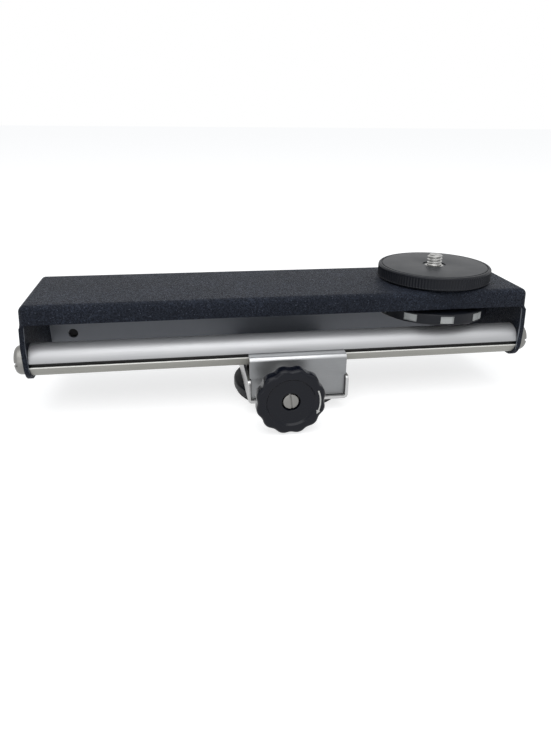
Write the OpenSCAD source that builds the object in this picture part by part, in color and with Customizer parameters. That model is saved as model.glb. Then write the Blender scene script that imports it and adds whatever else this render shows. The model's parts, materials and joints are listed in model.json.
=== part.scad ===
// Macro focusing rail: a sheet-metal bridge over a grooved rod slides through the jaws of a
// tripod carriage. A knurled platform with a camera screw sits on the bridge's right end.
// Millimetres. +X runs along the rail to the camera platform, +Y away from the clamp knob, +Z up.
// The origin is the centre of the tripod thread's mouth, under the base.

/* [Bridge] */
// Length of the bridge's top face
top_length = 202; // [170:1:300]
// Depth of the bridge from its front face to its back face
bridge_depth = 45; // [42:1:60]
// Height of the bridge's top face above the rod's axis
bridge_rise = 23.6; // [22:0.2:32]
// Thickness of the bridge's sheet
sheet = 1.8; // [1.2:0.1:2]
// Height of the lip folded down along the front
lip_height = 7.4; // [4:0.2:9]
// Distance from the bridge's front face back to the rod's axis
rod_inset = 7; // [6.6:0.1:9]
// Depth of the end walls and the rear wall below the rod's axis
skirt = 7.6; // [6.8:0.1:8.6]
// How far each end wall leans out on its way down to the rod
end_flare = 1.2; // [0:0.2:3]
// Outside radius of the bends round the top face
bend_r = 2.4; // [2.3:0.1:4]
// Outside radius of the upright corners above the lip's edge
corner_r = 2.2; // [2.2:0.2:5]
// Diameter of the hole near the left end of the rear wall
wall_hole_d = 4.2; // [2:0.2:6]
// Distance of that hole from the inside of the left end wall
wall_hole_inset = 9.8; // [6:0.2:20]
// Depth of that hole below the rod's axis
wall_hole_drop = 2.9; // [0:0.1:4]

/* [Rod] */
// Diameter of the rod
rod_d = 12.8; // [12:0.1:13]
// Depth of the grooves along the rod's front and back
groove_depth = 1.6; // [1.3:0.1:2.4]
// Height of the jaws' lips below the rod's axis, at mid thickness
groove_drop = 0.4; // [0:0.1:1]
// Diameter of the end screws' heads
end_head_d = 11.6; // [8:0.2:13]
// Height of the end screws' heads
end_head_h = 4; // [2:0.1:5]
// Diameter of the end screws' threads
end_thread_d = 4.8; // [3:0.2:6]
// Length of the end screws' threads inside the rod
end_thread_l = 12; // [6:1:20]
// Width of the end screws' slots
end_slot_w = 1.4; // [0.8:0.1:2]

/* [Camera platform] */
// Distance of the platform's axis from the right end of the bridge's top face
platform_inset = 32.6; // [28:0.2:60]
// Diameter of the platform over its knurl
platform_d = 48; // [36:1:52]
// Thickness of the platform
platform_t = 5.5; // [4.8:0.1:8]
// Number of grooves in the platform's knurl
knurl_count = 120; // [60:4:160]
// Depth of the knurl
knurl_depth = 0.3; // [0.1:0.05:0.6]
// Diameter of the pad let into the platform
pad_d = 44.6; // [30:0.2:45]
// Thickness of that pad
pad_t = 0.5; // [0.3:0.1:1]
// Diameter of the hole in the pad
pad_hole_d = 8.2; // [8:0.1:12]
// Thickness of the friction washer under the platform
friction_t = 0.4; // [0.2:0.1:1]
// Diameter of the friction washer
friction_d = 42; // [24:1:46]

/* [Hub] */
// Diameter of the hub's neck
hub_d = 11; // [9.4:0.2:13]
// Diameter of the hub's head inside the platform
hub_head_d = 14.4; // [13.6:0.2:18]
// Thickness of the hub's head
hub_head_t = 1.4; // [1:0.1:2]
// Diameter of the ring nut under the top plate
hub_ring_d = 17; // [15:0.5:24]
// Thickness of the ring nut
hub_ring_t = 2.8; // [2:0.1:4]

/* [Camera screw] */
// Diameter of the camera thread
camera_thread_d = 6.35; // [6:0.05:6.6]
// Height of the thread above the pad
camera_thread_l = 4.4; // [3.6:0.1:6]
// Diameter of the stud's collar
collar_d = 7.7; // [7.2:0.1:7.8]
// Diameter of the stud's shank
shank_d = 6.8; // [6.4:0.1:7]
// Diameter of the thumb wheel
wheel_d = 48.6; // [40:0.2:50]
// Thickness of the thumb wheel's rim
wheel_t = 4.6; // [4:0.1:5.4]
// Gap between the edge of the front lip and the top of the wheel's rim
wheel_drop = 1.9; // [1:0.1:2.4]
// Number of notches round the wheel's rim
notch_count = 10; // [6:1:12]
// Width of a notch
notch_w = 5.6; // [3:0.2:8]
// Height of a notch
notch_h = 3; // [2:0.1:3.4]
// Depth of a notch
notch_depth = 0.7; // [0.3:0.1:1.2]
// Turn of the wheel from the pose with a notch straight in front
wheel_turn = -5; // [-18:1:18]

/* [Carriage] */
// Distance of the rail's middle to the left of the tripod axis
rail_offset = 4; // [0:0.2:10]
// Distance from the tripod axis forward to the rod's axis
rod_forward = 13.5; // [12:0.1:16]
// Outside width of the base channel
channel_w = 41.6; // [38:0.2:48]
// Depth of the base channel from front to back
channel_depth = 52; // [50:1:60]
// Thickness of the channel's sheet
channel_t = 1.2; // [1:0.1:1.6]
// Height of the channel's cheeks over its underside
cheek_height = 9.9; // [6:0.1:10.4]
// Outside radius of the channel's bends
channel_bend_r = 1.8; // [1.7:0.1:3]
// Radius of the cheeks' upper corners
cheek_corner_r = 1.5; // [0.5:0.1:3]
// Diameter of the base disc
base_d = 48.2; // [44:0.2:60]
// Thickness of the base disc
base_t = 3.8; // [2.6:0.1:5]
// Diameter of the rubber pad under the base disc
base_pad_d = 46.4; // [40:0.2:58]
// Thickness of that pad
base_pad_t = 1.4; // [1:0.1:2]
// Diameter of the tripod thread
tripod_thread_d = 6.35; // [6:0.05:9.6]
// Diameter of the tripod bush's neck
bush_d = 11; // [10:0.2:14]
// Diameter of the tripod bush's flange
bush_flange_d = 16; // [15:0.2:20]
// Diameter of the bush's riveted rim
bush_rim_d = 13; // [12:0.2:15]
// Thickness of the bush's riveted rim
bush_rim_t = 0.8; // [0.5:0.1:1.2]

/* [Jaws] */
// Distance from the rod's axis to the inner face of each jaw
jaw_reach = 9.8; // [9:0.1:10.4]
// Thickness of the jaws' plate
jaw_t = 1.2; // [0.9:0.1:1.6]
// Outside radius of the jaws' bends
jaw_bend_r = 1.8; // [1.7:0.1:2.4]
// How far the front jaw's shoulders stand out over its lower part, on each side
shoulder = 0.5; // [0:0.1:1]
// Depth of the rear jaw's foot behind its plate
foot_depth = 14; // [10:0.5:16]
// Distance of each rivet from the middle of the rear jaw
rivet_x = 14; // [10:0.5:16]
// Diameter of the rivets' shanks
rivet_d = 2.4; // [1.6:0.1:3]
// Diameter of the rivets' heads
rivet_head_d = 4.4; // [3.2:0.1:5]
// Height of the rivets' heads
rivet_head_h = 1.2; // [0.8:0.1:1.6]

/* [Clamp] */
// Distance of the knob's axis to the left of the tripod axis
knob_offset = 6.3; // [2:0.1:9]
// Diameter of the knob over its waves
knob_d = 27.1; // [22:0.2:30]
// Thickness of the knob's rim
knob_t = 6; // [5:0.1:8]
// Number of waves round the knob
wave_count = 12; // [8:1:16]
// Depth of the waves, from crest to trough
wave_depth = 0.7; // [0.4:0.1:1.4]
// Diameter of the knob's shallow dish
dish_d = 19.4; // [12:0.2:20]
// Depth of the dish
dish_depth = 0.8; // [0.4:0.1:1.4]
// Diameter of the neck behind the knob's rim
neck_d = 15; // [11:0.2:18]
// Length of that neck
neck_l = 4.2; // [2:0.1:6]
// Diameter of the spacer sleeve
sleeve_d = 10; // [7.4:0.1:12]
// Length of the spacer sleeve
sleeve_l = 8.4; // [4:0.1:12]
// Thickness of the thrust washer
washer_t = 0.8; // [0.5:0.1:1.2]
// Diameter of the thrust washer
washer_d = 12.4; // [10:0.2:14]
// Diameter of the clamp screw's thread
screw_d = 4.9; // [4:0.1:5.4]
// Diameter of the clamp screw's slotted head
screw_head_d = 6.2; // [5.8:0.1:7]
// Height of that head
screw_head_h = 2; // [1.4:0.1:2.4]
// Width of its slot
screw_slot_w = 0.7; // [0.6:0.1:1.2]
// Turn of its slot from upright
screw_slot_turn = 8; // [-90:1:90]
// Size of the clamp nut across its flats
nut_flats = 8; // [7:0.1:9]
// Thickness of the clamp nut
nut_t = 4; // [2.5:0.1:5]

/* [Jaw spring] */
// Diameter of the spring's wire
wire_d = 0.7; // [0.5:0.05:0.9]
// Number of the spring's turns
spring_turns = 9; // [6:1:12]
// Clearance between the spring and the rod above it
spring_gap = 0.5; // [0.3:0.05:1]

/* [Clearances] */
// Radial clearance of a shaft that turns in its hole
run = 0.05; // [0.03:0.01:0.08]
// Clearance between flat faces that slide on each other
slide = 0.05; // [0.02:0.01:0.1]
// Clearance round a screw that passes through a plate
pass = 0.35; // [0.2:0.05:0.6]
// Clearance between a jaw's lip and the groove's walls
lip_play = 0.15; // [0.1:0.05:0.3]
// Clearance between the tip of a lip and the groove's floor
tip_gap = 0.3; // [0.1:0.05:0.4]
// Clearance beside the jaws inside the channel
side_gap = 0.2; // [0.1:0.05:0.4]
// Clearance round the thumb wheel in the slot through the rear wall
wheel_gap = 0.8; // [0.4:0.1:0.9]
// Clearance between the knob and the ground
ground_gap = 0.1; // [0.1:0.1:2]

/* [Hidden] */
$fn = 64;
past = 1;                                   // how far a cutter runs past the face it cuts
turned_edge = 0.5;                          // chamfer on turned pieces
rivet_edge = 0.2;                           // upright edge left under a rivet's dome

black_paint = [0.13, 0.14, 0.17];
black_metal = [0.17, 0.18, 0.20];
black_plastic = [0.14, 0.15, 0.18];
rubber = [0.10, 0.10, 0.11];
satin = [0.66, 0.67, 0.68];
bright = [0.80, 0.81, 0.82];
zinc = [0.72, 0.72, 0.70];

// Rod and clamp axes. The knob clears the ground, the spring clears the rod above it.
rod_r = rod_d / 2;
spring_inner_r = screw_d / 2 + 0.5;
spring_r = spring_inner_r + wire_d / 2;
clamp_drop = rod_r + spring_gap + spring_r + wire_d / 2;
clamp_z = knob_d / 2 + ground_gap;
clamp_x = -knob_offset;
rod_z = clamp_z + clamp_drop;
rod_y = -rod_forward;
rail_x = -rail_offset;

// Bridge
top_z = rod_z + bridge_rise;
front_y = rod_y - rod_inset;
back_y = front_y + bridge_depth;
low_z = rod_z - skirt;
lip_low = top_z - lip_height;
joggle_rise = 0.2;
joggle_z = rod_z + rod_r + joggle_rise;     // the end walls lean above this height
half_top = top_length / 2;
half_low = half_top + end_flare;
lean = atan(end_flare / (top_z - joggle_z));
rod_half = half_low - sheet;                // the rod's ends meet the end walls

// Platform and camera screw, one above the other on one axis
axis_x = rail_x + half_top - platform_inset;
axis_y = (front_y + back_y) / 2;
platform_z = top_z + friction_t;
platform_top = platform_z + platform_t;
pad_proud = 0.1;
knurl_end = 0.7;                            // plain edge above and below the knurl
pad_top = platform_top + pad_proud;
pad_z = pad_top - pad_t;
hub_top = pad_z - slide;
hub_low = top_z - sheet - hub_ring_t;
wheel_z = lip_low - wheel_drop - wheel_t;
thrust_t = 0.2;                             // the washer between the wheel and the hub ring
boss_top = hub_low - thrust_t - 2 * slide;
boss_d = 14;
wheel_screw_d = 3;
wheel_screw_l = 6;                          // length of its thread in the stud
wheel_screw_head_d = 6.4;
wheel_screw_head_h = 2;
wheel_web = 0.4;                            // the wheel's floor between its screw's head and the stud
stud_low = wheel_z + wheel_screw_head_h + wheel_web;
wheel_rim_w = 3.5;                          // the wheel's rim round its dished underside
wheel_dish = 1.4;
end_slot_h = 1.6;                           // depth of the end screws' slots
screw_slot_h = 0.9;                         // depth of the clamp screw's slot

// Carriage
disc_z = base_pad_t;
channel_z = disc_z + base_t;
floor_z = channel_z + channel_t;
channel_inner_w = channel_w - 2 * channel_t;
jaw_w = channel_inner_w - 2 * side_gap;
rear_jaw_w = jaw_w - 2 * (channel_bend_r - channel_t);     // its foot lies between the channel's bends
lip_z = rod_z - groove_drop;                // mid thickness of both lips
lip_top = lip_z + jaw_t / 2;
lip_tip = rod_r - groove_depth + tip_gap;   // distance of the lips' tips from the rod's axis
jaw_outer = jaw_reach + jaw_t;
knob_back = jaw_outer + slide + washer_t + sleeve_l + neck_l;
knob_face = knob_back + knob_t;
recess_depth = screw_head_h + 0.4;
shank_l = knob_face - dish_depth - recess_depth;    // from the head's seat to the rod's axis

// Draws a shape of the X-Z plane between two places along Y
module along_y(from, to) {
    translate([0, to, 0]) rotate([90, 0, 0]) linear_extrude(to - from) children();
}

// Draws a shape of the Y-Z plane between two places along X
module along_x(from, to) {
    translate([from, 0, 0]) rotate([90, 0, 90]) linear_extrude(to - from) children();
}

// Puts a piece on the clamp's axis, with its foot at a distance in front of the rod's axis
// and its own +Z pointing to the front
module on_clamp(distance) {
    translate([clamp_x, rod_y - distance, clamp_z]) rotate([90, 0, 0]) children();
}

// A flat ring
module ring(outer_d, inner_d, height) {
    difference() {
        cylinder(d = outer_d, h = height);
        translate([0, 0, -past]) cylinder(d = inner_d, h = height + 2 * past);
    }
}

// A round bar with chamfered ends
module chamfered_bar(diameter, height, low, high) {
    r = diameter / 2;
    rotate_extrude()
        polygon([[0, 0], [r - low, 0], [r, low], [r, height - high], [r - high, height], [0, height]]);
}

// A rectangle with its own radius at each corner: lower left, lower right, upper right, upper left
module soft_rectangle(x0, y0, x1, y1, radii) {
    corners = [[x0, y0], [x1, y0], [x1, y1], [x0, y1]];
    inward = [[1, 1], [-1, 1], [-1, -1], [1, -1]];
    difference() {
        translate([x0, y0]) square([x1 - x0, y1 - y0]);
        for (i = [0:3]) if (radii[i] > 0)
            difference() {
                translate(corners[i]) scale([inward[i][0], inward[i][1]])
                    translate([-past, -past]) square(radii[i] + past);
                translate(corners[i] + radii[i] * inward[i]) circle(radii[i]);
            }
    }
}

// ---- Rail ----

// Outline of the bridge seen from the front, drawn inward by an inset
module elevation(inset, low) {
    x_top = half_top + inset * (tan(lean) - 1 / cos(lean));
    z_top = top_z - inset;
    r = bend_r - inset;
    bend = [x_top - r * tan(45 - lean / 2), z_top - r];
    x_low = half_low - inset;
    side = [[x_top, z_top], [x_low, joggle_z], [x_low, low]];
    translate([rail_x, 0]) difference() {
        polygon(concat(side, [for (i = [2:-1:0]) [-side[i][0], side[i][1]]]));
        // what the bends leave off the two upper corners
        for (s = [0, 1]) mirror([s, 0]) difference() {
            polygon([bend, bend + [0, r + past], [x_top + 2 * past, z_top + 2 * past],
                bend + (r + past) * [cos(lean), sin(lean)]]);
            translate(bend) circle(r);
        }
    }
}

// The bridge's form as three outlines that cross: from the front, from the side and from above
module bridge_form(inset, low, low_radii) {
    y0 = front_y + inset;
    y1 = back_y - inset;
    r = bend_r - inset;
    x1 = half_low - inset;
    intersection() {
        along_y(y0, y1) elevation(inset, low);
        along_x(rail_x - x1 - past, rail_x + x1 + past)
            soft_rectangle(y0, low, y1, top_z - inset, [low_radii[0], low_radii[1], r, r]);
        translate([rail_x, 0, low - past]) linear_extrude(top_z - low + 2 * past)
            soft_rectangle(-x1, y0, x1, y1, [0, 0, corner_r - inset, corner_r - inset]);
        union() {
            translate([rail_x, 0, lip_low]) linear_extrude(top_z - lip_low + past)
                soft_rectangle(-x1, y0, x1, y1 + past, [corner_r - inset, corner_r - inset, 0, 0]);
            translate([rail_x - x1 - past, y0, low - past]) cube([2 * (x1 + past), y1 - y0, lip_low - low + past]);
        }
    }
}

module bridge() color(black_paint) difference() {
    bridge_form(0, low_z, [rod_inset, 0]);
    bridge_form(sheet, low_z - past, [0, 0]);
    // window under the front lip, as wide as the bridge inside
    intersection() {
        along_y(front_y - past, front_y + corner_r + past) elevation(sheet, low_z - past);
        translate([rail_x - half_low, front_y - past, low_z - past])
            cube([2 * half_low, corner_r + 3 * past, lip_low - low_z + past]);
    }
    // slot through the rear wall for the thumb wheel
    translate([axis_x, axis_y, wheel_z - wheel_gap]) cylinder(d = wheel_d + 2 * wheel_gap, h = wheel_t + 2 * wheel_gap);
    // hub, end screws and the small hole in the rear wall
    translate([axis_x, axis_y, top_z - sheet - past]) cylinder(d = hub_d + 2 * run, h = sheet + 2 * past);
    translate([rail_x - half_low - past, rod_y, rod_z]) rotate([0, 90, 0])
        cylinder(d = end_thread_d + 2 * run, h = 2 * half_low + 2 * past);
    translate([rail_x - half_low + sheet + wall_hole_inset, back_y + past, rod_z - wall_hole_drop])
        rotate([90, 0, 0]) cylinder(d = wall_hole_d, h = sheet + 2 * past);
}

module rail_rod() color(bright) difference() {
    translate([rail_x - rod_half, rod_y, rod_z]) rotate([0, 90, 0]) cylinder(d = rod_d, h = 2 * rod_half);
    for (s = [-1, 1])
        translate([rail_x - rod_half - past, rod_y + s * rod_r - groove_depth, lip_z - jaw_t / 2 - lip_play])
            cube([2 * rod_half + 2 * past, 2 * groove_depth, jaw_t + 2 * lip_play]);
    for (s = [-1, 1])
        translate([rail_x + s * rod_half, rod_y, rod_z]) rotate([0, -90 * s, 0])
            translate([0, 0, -past]) cylinder(d = end_thread_d + 2 * run, h = end_thread_l + 2 + past);
}

// A slotted screw along X whose head lies against an end wall
module end_screw() color(bright) difference() {
    union() {
        rotate_extrude() intersection() {
            soft_rectangle(-end_head_d / 2, 0, end_head_d / 2, end_head_h, [0, 0, 1.2, 1.2]);
            square([end_head_d, end_head_h]);
        }
        translate([0, 0, -sheet - end_thread_l]) cylinder(d = end_thread_d, h = sheet + end_thread_l);
    }
    translate([-end_head_d, -end_slot_w / 2, end_head_h - end_slot_h])
        cube([2 * end_head_d, end_slot_w, end_slot_h + past]);
}

module end_screw_left() translate([rail_x - half_low, rod_y, rod_z]) rotate([0, -90, 0]) rotate(90) end_screw();

module end_screw_right() translate([rail_x + half_low, rod_y, rod_z]) rotate([0, 90, 0]) rotate(90) end_screw();

module platform_hub() color(satin) translate([axis_x, axis_y, 0]) difference() {
    union() {
        translate([0, 0, hub_low]) cylinder(d = hub_d, h = hub_top - hub_low);
        translate([0, 0, hub_top - hub_head_t]) cylinder(d = hub_head_d, h = hub_head_t);
    }
    translate([0, 0, hub_low - past]) cylinder(d = shank_d + 2 * run, h = hub_top - hub_low + 2 * past);
}

module hub_ring() color(zinc) translate([axis_x, axis_y, hub_low]) difference() {
    chamfered_bar(hub_ring_d, hub_ring_t, turned_edge, 0);
    translate([0, 0, -past]) cylinder(d = hub_d + 2 * run, h = hub_ring_t + 2 * past);
    // two holes for a pin spanner
    for (s = [-1, 1]) translate([s * (hub_d + hub_ring_d) / 4, 0, -past]) cylinder(d = 1.4, h = 1.6 + past, $fn = 24);
}

module friction_washer() color(rubber) translate([axis_x, axis_y, top_z]) ring(friction_d, hub_d + 2 * pass, friction_t);

// ---- Camera platform ----

// Outline of a straight knurl: a row of V grooves round a circle
module knurl_outline(radius, depth, count) {
    polygon([for (i = [0:2 * count - 1]) let(a = i * 180 / count, r = radius - (i % 2) * depth)
        [r * cos(a), r * sin(a)]]);
}

module platform_disc() color(black_metal) translate([axis_x, axis_y, platform_z]) difference() {
    union() {
        chamfered_bar(platform_d - 2 * knurl_depth, platform_t, turned_edge, turned_edge);
        translate([0, 0, knurl_end]) linear_extrude(platform_t - 2 * knurl_end)
            knurl_outline(platform_d / 2, knurl_depth, knurl_count);
    }
    translate([0, 0, -past]) cylinder(d = hub_d + 2 * run, h = platform_t + 2 * past);
    translate([0, 0, hub_top - hub_head_t - slide - platform_z]) cylinder(d = hub_head_d + 2 * run, h = platform_t);
    translate([0, 0, pad_z - platform_z]) cylinder(d = pad_d + 0.8, h = pad_t + past);
}

module platform_pad() color(rubber) translate([axis_x, axis_y, pad_z]) ring(pad_d, pad_hole_d, pad_t);

// ---- Camera screw ----

module camera_stud() color(bright) translate([axis_x, axis_y, 0]) difference() {
    union() {
        translate([0, 0, stud_low]) cylinder(d = shank_d, h = hub_top - stud_low);
        translate([0, 0, hub_top]) cylinder(d = collar_d, h = pad_top - hub_top);
        translate([0, 0, pad_top]) chamfered_bar(camera_thread_d, camera_thread_l, 0, turned_edge);
    }
    translate([0, 0, stud_low - past]) cylinder(d = wheel_screw_d + 2 * run, h = wheel_screw_l + 2 + past);
}

module thumb_wheel() color(black_metal) translate([axis_x, axis_y, wheel_z]) difference() {
    union() {
        chamfered_bar(wheel_d, wheel_t, 0.4, 0.4);
        cylinder(d = boss_d, h = boss_top - wheel_z);
    }
    translate([0, 0, stud_low - wheel_z]) cylinder(d = shank_d + 2 * run, h = boss_top);
    translate([0, 0, -past]) cylinder(d = wheel_screw_d + 2 * pass, h = boss_top);
    translate([0, 0, -past]) cylinder(d = wheel_screw_head_d + 2 * pass, h = wheel_screw_head_h + past);
    // dished underside
    translate([0, 0, -past]) ring(wheel_d - 2 * wheel_rim_w, boss_d, wheel_dish + past);
    // notches round the rim
    for (i = [0:notch_count - 1]) rotate(wheel_turn - 90 + i * 360 / notch_count)
        translate([wheel_d / 2 - notch_depth, -notch_w / 2, (wheel_t - notch_h) / 2])
            cube([notch_depth + past, notch_w, notch_h]);
}

module wheel_screw() color(bright) translate([axis_x, axis_y, wheel_z]) difference() {
    union() {
        cylinder(d = wheel_screw_head_d, h = wheel_screw_head_h);
        cylinder(d = wheel_screw_d, h = stud_low - wheel_z + wheel_screw_l);
    }
    translate([-wheel_screw_head_d, -0.5, -past]) cube([2 * wheel_screw_head_d, 1, 0.8 + past]);
}

module wheel_washer() color(zinc) translate([axis_x, axis_y, boss_top + slide])
    ring(boss_d - 0.6, shank_d + 2 * pass, hub_low - boss_top - 2 * slide);

// ---- Carriage ----

module base_channel() color(satin) difference() {
    intersection() {
        along_y(-channel_depth / 2, channel_depth / 2) difference() {
            soft_rectangle(-channel_w / 2, channel_z, channel_w / 2, channel_z + cheek_height,
                [channel_bend_r, channel_bend_r, 0, 0]);
            soft_rectangle(-channel_inner_w / 2, floor_z, channel_inner_w / 2, channel_z + cheek_height + past,
                [channel_bend_r - channel_t, channel_bend_r - channel_t, 0, 0]);
        }
        along_x(-channel_w / 2 - past, channel_w / 2 + past)
            soft_rectangle(-channel_depth / 2, channel_z - past, channel_depth / 2, channel_z + cheek_height,
                [0, 0, cheek_corner_r, cheek_corner_r]);
    }
    translate([0, 0, channel_z - past]) cylinder(d = bush_d + 2 * run, h = channel_t + 2 * past);
    for (s = [-1, 1]) on_rivet(s)
        translate([0, 0, channel_z - past]) cylinder(d = rivet_d + 2 * run, h = channel_t + 2 * past, $fn = 32);
}

module base_disc() color(black_metal) translate([0, 0, disc_z]) difference() {
    chamfered_bar(base_d, base_t, turned_edge, turned_edge);
    translate([0, 0, -past]) cylinder(d = bush_d + 2 * run, h = base_t + 2 * past);
}

module base_pad() color(rubber) ring(base_pad_d, bush_flange_d + 0.4, base_pad_t);

module tripod_bush() color(zinc) difference() {
    union() {
        cylinder(d = bush_flange_d, h = base_pad_t);
        cylinder(d = bush_d, h = floor_z + bush_rim_t);
        translate([0, 0, floor_z]) cylinder(d = bush_rim_d, h = bush_rim_t);
    }
    translate([0, 0, -past]) cylinder(d = tripod_thread_d, h = floor_z + bush_rim_t + 2 * past);
}

// Section of a jaw, with the rod's axis at the origin and the jaw on the +U side: a plate with a
// lip bent towards the rod, and below it either the plate's end or a foot bent away from the rod
module jaw_section(low, foot) {
    turn = jaw_bend_r;
    inner = jaw_bend_r - jaw_t;
    top = lip_top - rod_z;
    translate([lip_tip, top - jaw_t]) square([jaw_outer - turn - lip_tip, jaw_t]);
    translate([jaw_reach, low + (foot > 0 ? turn : 0)])
        square([jaw_t, top - turn - low - (foot > 0 ? turn : 0)]);
    intersection() {
        difference() {
            translate([jaw_outer - turn, top - turn]) circle(turn);
            if (inner > 0) translate([jaw_outer - turn, top - turn]) circle(inner);
        }
        translate([jaw_outer - turn, top - turn]) square(turn);
    }
    if (foot > 0) {
        translate([jaw_reach + turn, low]) square([foot - inner, jaw_t]);
        intersection() {
            difference() {
                translate([jaw_reach + turn, low + turn]) circle(turn);
                if (inner > 0) translate([jaw_reach + turn, low + turn]) circle(inner);
            }
            translate([jaw_reach, low]) square(turn);
        }
    }
}

// Puts a piece on a rivet's axis, in the middle of the rear jaw's foot
module on_rivet(side) {
    translate([side * rivet_x, rod_y + jaw_outer + foot_depth / 2, 0]) children();
}

module rear_jaw() color(satin) difference() {
    along_x(-rear_jaw_w / 2, rear_jaw_w / 2) translate([rod_y, rod_z]) jaw_section(floor_z - rod_z, foot_depth);
    // clamp screw, bush rim and rivets
    on_clamp(0) translate([0, 0, -jaw_outer - past]) cylinder(d = screw_d + 2 * pass, h = jaw_t + 2 * past);
    translate([0, 0, floor_z - past]) cylinder(d = bush_rim_d + 1, h = jaw_t + 0.4 + past);
    for (s = [-1, 1]) on_rivet(s)
        translate([0, 0, floor_z - past]) cylinder(d = rivet_d + 2 * run, h = jaw_t + 2 * past, $fn = 32);
}

module rivet() color(bright) {
    translate([0, 0, channel_z]) cylinder(d = rivet_d, h = channel_t + jaw_t, $fn = 32);
    translate([0, 0, floor_z + jaw_t]) rotate_extrude() intersection() {
        soft_rectangle(-rivet_head_d / 2, 0, rivet_head_d / 2, rivet_head_h,
            [0, 0, rivet_head_h - rivet_edge, rivet_head_h - rivet_edge]);
        square([rivet_head_d, rivet_head_h]);
    }
}

module jaw_rivet_left() on_rivet(-1) rivet();

module jaw_rivet_right() on_rivet(1) rivet();

module clamp_nut() color(zinc) on_clamp(-jaw_outer - nut_t) difference() {
    rotate(30) cylinder(d = nut_flats / cos(30), h = nut_t, $fn = 6);
    translate([0, 0, -past]) cylinder(d = screw_d + 2 * run, h = nut_t + 2 * past);
}

// ---- Front jaw ----

module front_jaw() color(satin) difference() {
    along_x(-jaw_w / 2 - shoulder, jaw_w / 2 + shoulder)
        translate([rod_y, rod_z]) mirror([1, 0]) jaw_section(floor_z + 0.3 - rod_z, 0);
    // the lower part is narrower, to fit between the cheeks
    for (s = [-1, 1])
        translate([s * (jaw_w / 2 + shoulder) - shoulder, rod_y - jaw_outer - past, 0])
            cube([2 * shoulder, jaw_t + 2 * past, channel_z + cheek_height + 0.4]);
    on_clamp(jaw_reach - past) cylinder(d = screw_d + 2 * pass, h = jaw_t + 2 * past);
}

// ---- Clamp ----

// Outline of the knob: a circle with smooth waves
module waves(radius, depth, count) {
    steps = 10 * count;
    polygon([for (i = [0:steps - 1]) let(a = i * 360 / steps, r = radius - depth / 2 * (1 + cos(count * a)))
        [r * cos(a), r * sin(a)]]);
}

module clamp_knob() color(black_plastic) on_clamp(knob_back - neck_l) {
    edge = 1;
    difference() {
        union() {
            translate([0, 0, neck_l + edge]) linear_extrude(knob_t - 2 * edge) waves(knob_d / 2, wave_depth, wave_count);
            translate([0, 0, neck_l + knob_t - edge]) linear_extrude(edge, scale = 1 - 2 * edge / knob_d)
                waves(knob_d / 2, wave_depth, wave_count);
            translate([0, 0, neck_l + edge]) mirror([0, 0, 1]) linear_extrude(edge, scale = 1 - 2 * edge / knob_d)
                waves(knob_d / 2, wave_depth, wave_count);
            cylinder(d = neck_d, h = neck_l + edge);
        }
        translate([0, 0, neck_l + knob_t - dish_depth]) cylinder(d = dish_d, h = dish_depth + past);
        translate([0, 0, neck_l + knob_t - dish_depth - recess_depth])
            cylinder(d = screw_head_d + 1, h = recess_depth + past);
        translate([0, 0, -past]) cylinder(d = screw_d + 2 * run, h = neck_l + knob_t);
    }
}

module clamp_screw() color(bright) on_clamp(0) difference() {
    union() {
        translate([0, 0, -jaw_outer - nut_t]) cylinder(d = screw_d, h = shank_l + jaw_outer + nut_t);
        translate([0, 0, shank_l]) chamfered_bar(screw_head_d, screw_head_h, 0, 0.3);
    }
    translate([0, 0, shank_l + screw_head_h - screw_slot_h]) rotate(90 + screw_slot_turn)
        translate([-screw_head_d, -screw_slot_w / 2, 0]) cube([2 * screw_head_d, screw_slot_w, screw_slot_h + past]);
}

module clamp_sleeve() color(zinc) on_clamp(jaw_outer + slide + washer_t) ring(sleeve_d, screw_d + 2 * pass, sleeve_l);

module clamp_washer() color(bright) on_clamp(jaw_outer + slide) ring(washer_d, screw_d + 2 * pass, washer_t);

// ---- Jaw spring ----

spring_from = -jaw_reach + tip_gap;         // along Y from the rod's axis: clear of the front jaw
spring_to = jaw_reach;                      // and seated on the rear jaw
rings_per_turn = 8;
wire_sides = 6;
coil_rings = spring_turns * rings_per_turn;
coil_pitch = (spring_to - spring_from - 2 * wire_d) / spring_turns;

// Centre of the wire at a ring: a straight end, the coil and a straight end
function coil_point(i) =
    let(k = min(max(i, 0), coil_rings), a = k * 360 / rings_per_turn)
    [spring_r * cos(a), spring_from + wire_d + k * coil_pitch / rings_per_turn, spring_r * sin(a)];
function wire_point(i) =
    i < 0 ? [coil_point(0)[0], spring_from, coil_point(0)[2]] :
    i > coil_rings ? [coil_point(i)[0], spring_to, coil_point(i)[2]] : coil_point(i);

// One ring of the wire's skin, across the wire's direction
function unit(v) = v / norm(v);
function wire_ring(i) =
    let(
        along = i < 0 || i > coil_rings ? [0, 1, 0] : unit(wire_point(i + 1) - wire_point(i - 1)),
        out = unit([wire_point(i)[0], 0, wire_point(i)[2]]),
        side = unit(cross(along, out)),
        up = cross(side, along)
    )
    [for (s = [0:wire_sides - 1]) let(a = s * 360 / wire_sides)
        wire_point(i) + wire_d / 2 * (cos(a) * up + sin(a) * side)];

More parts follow.
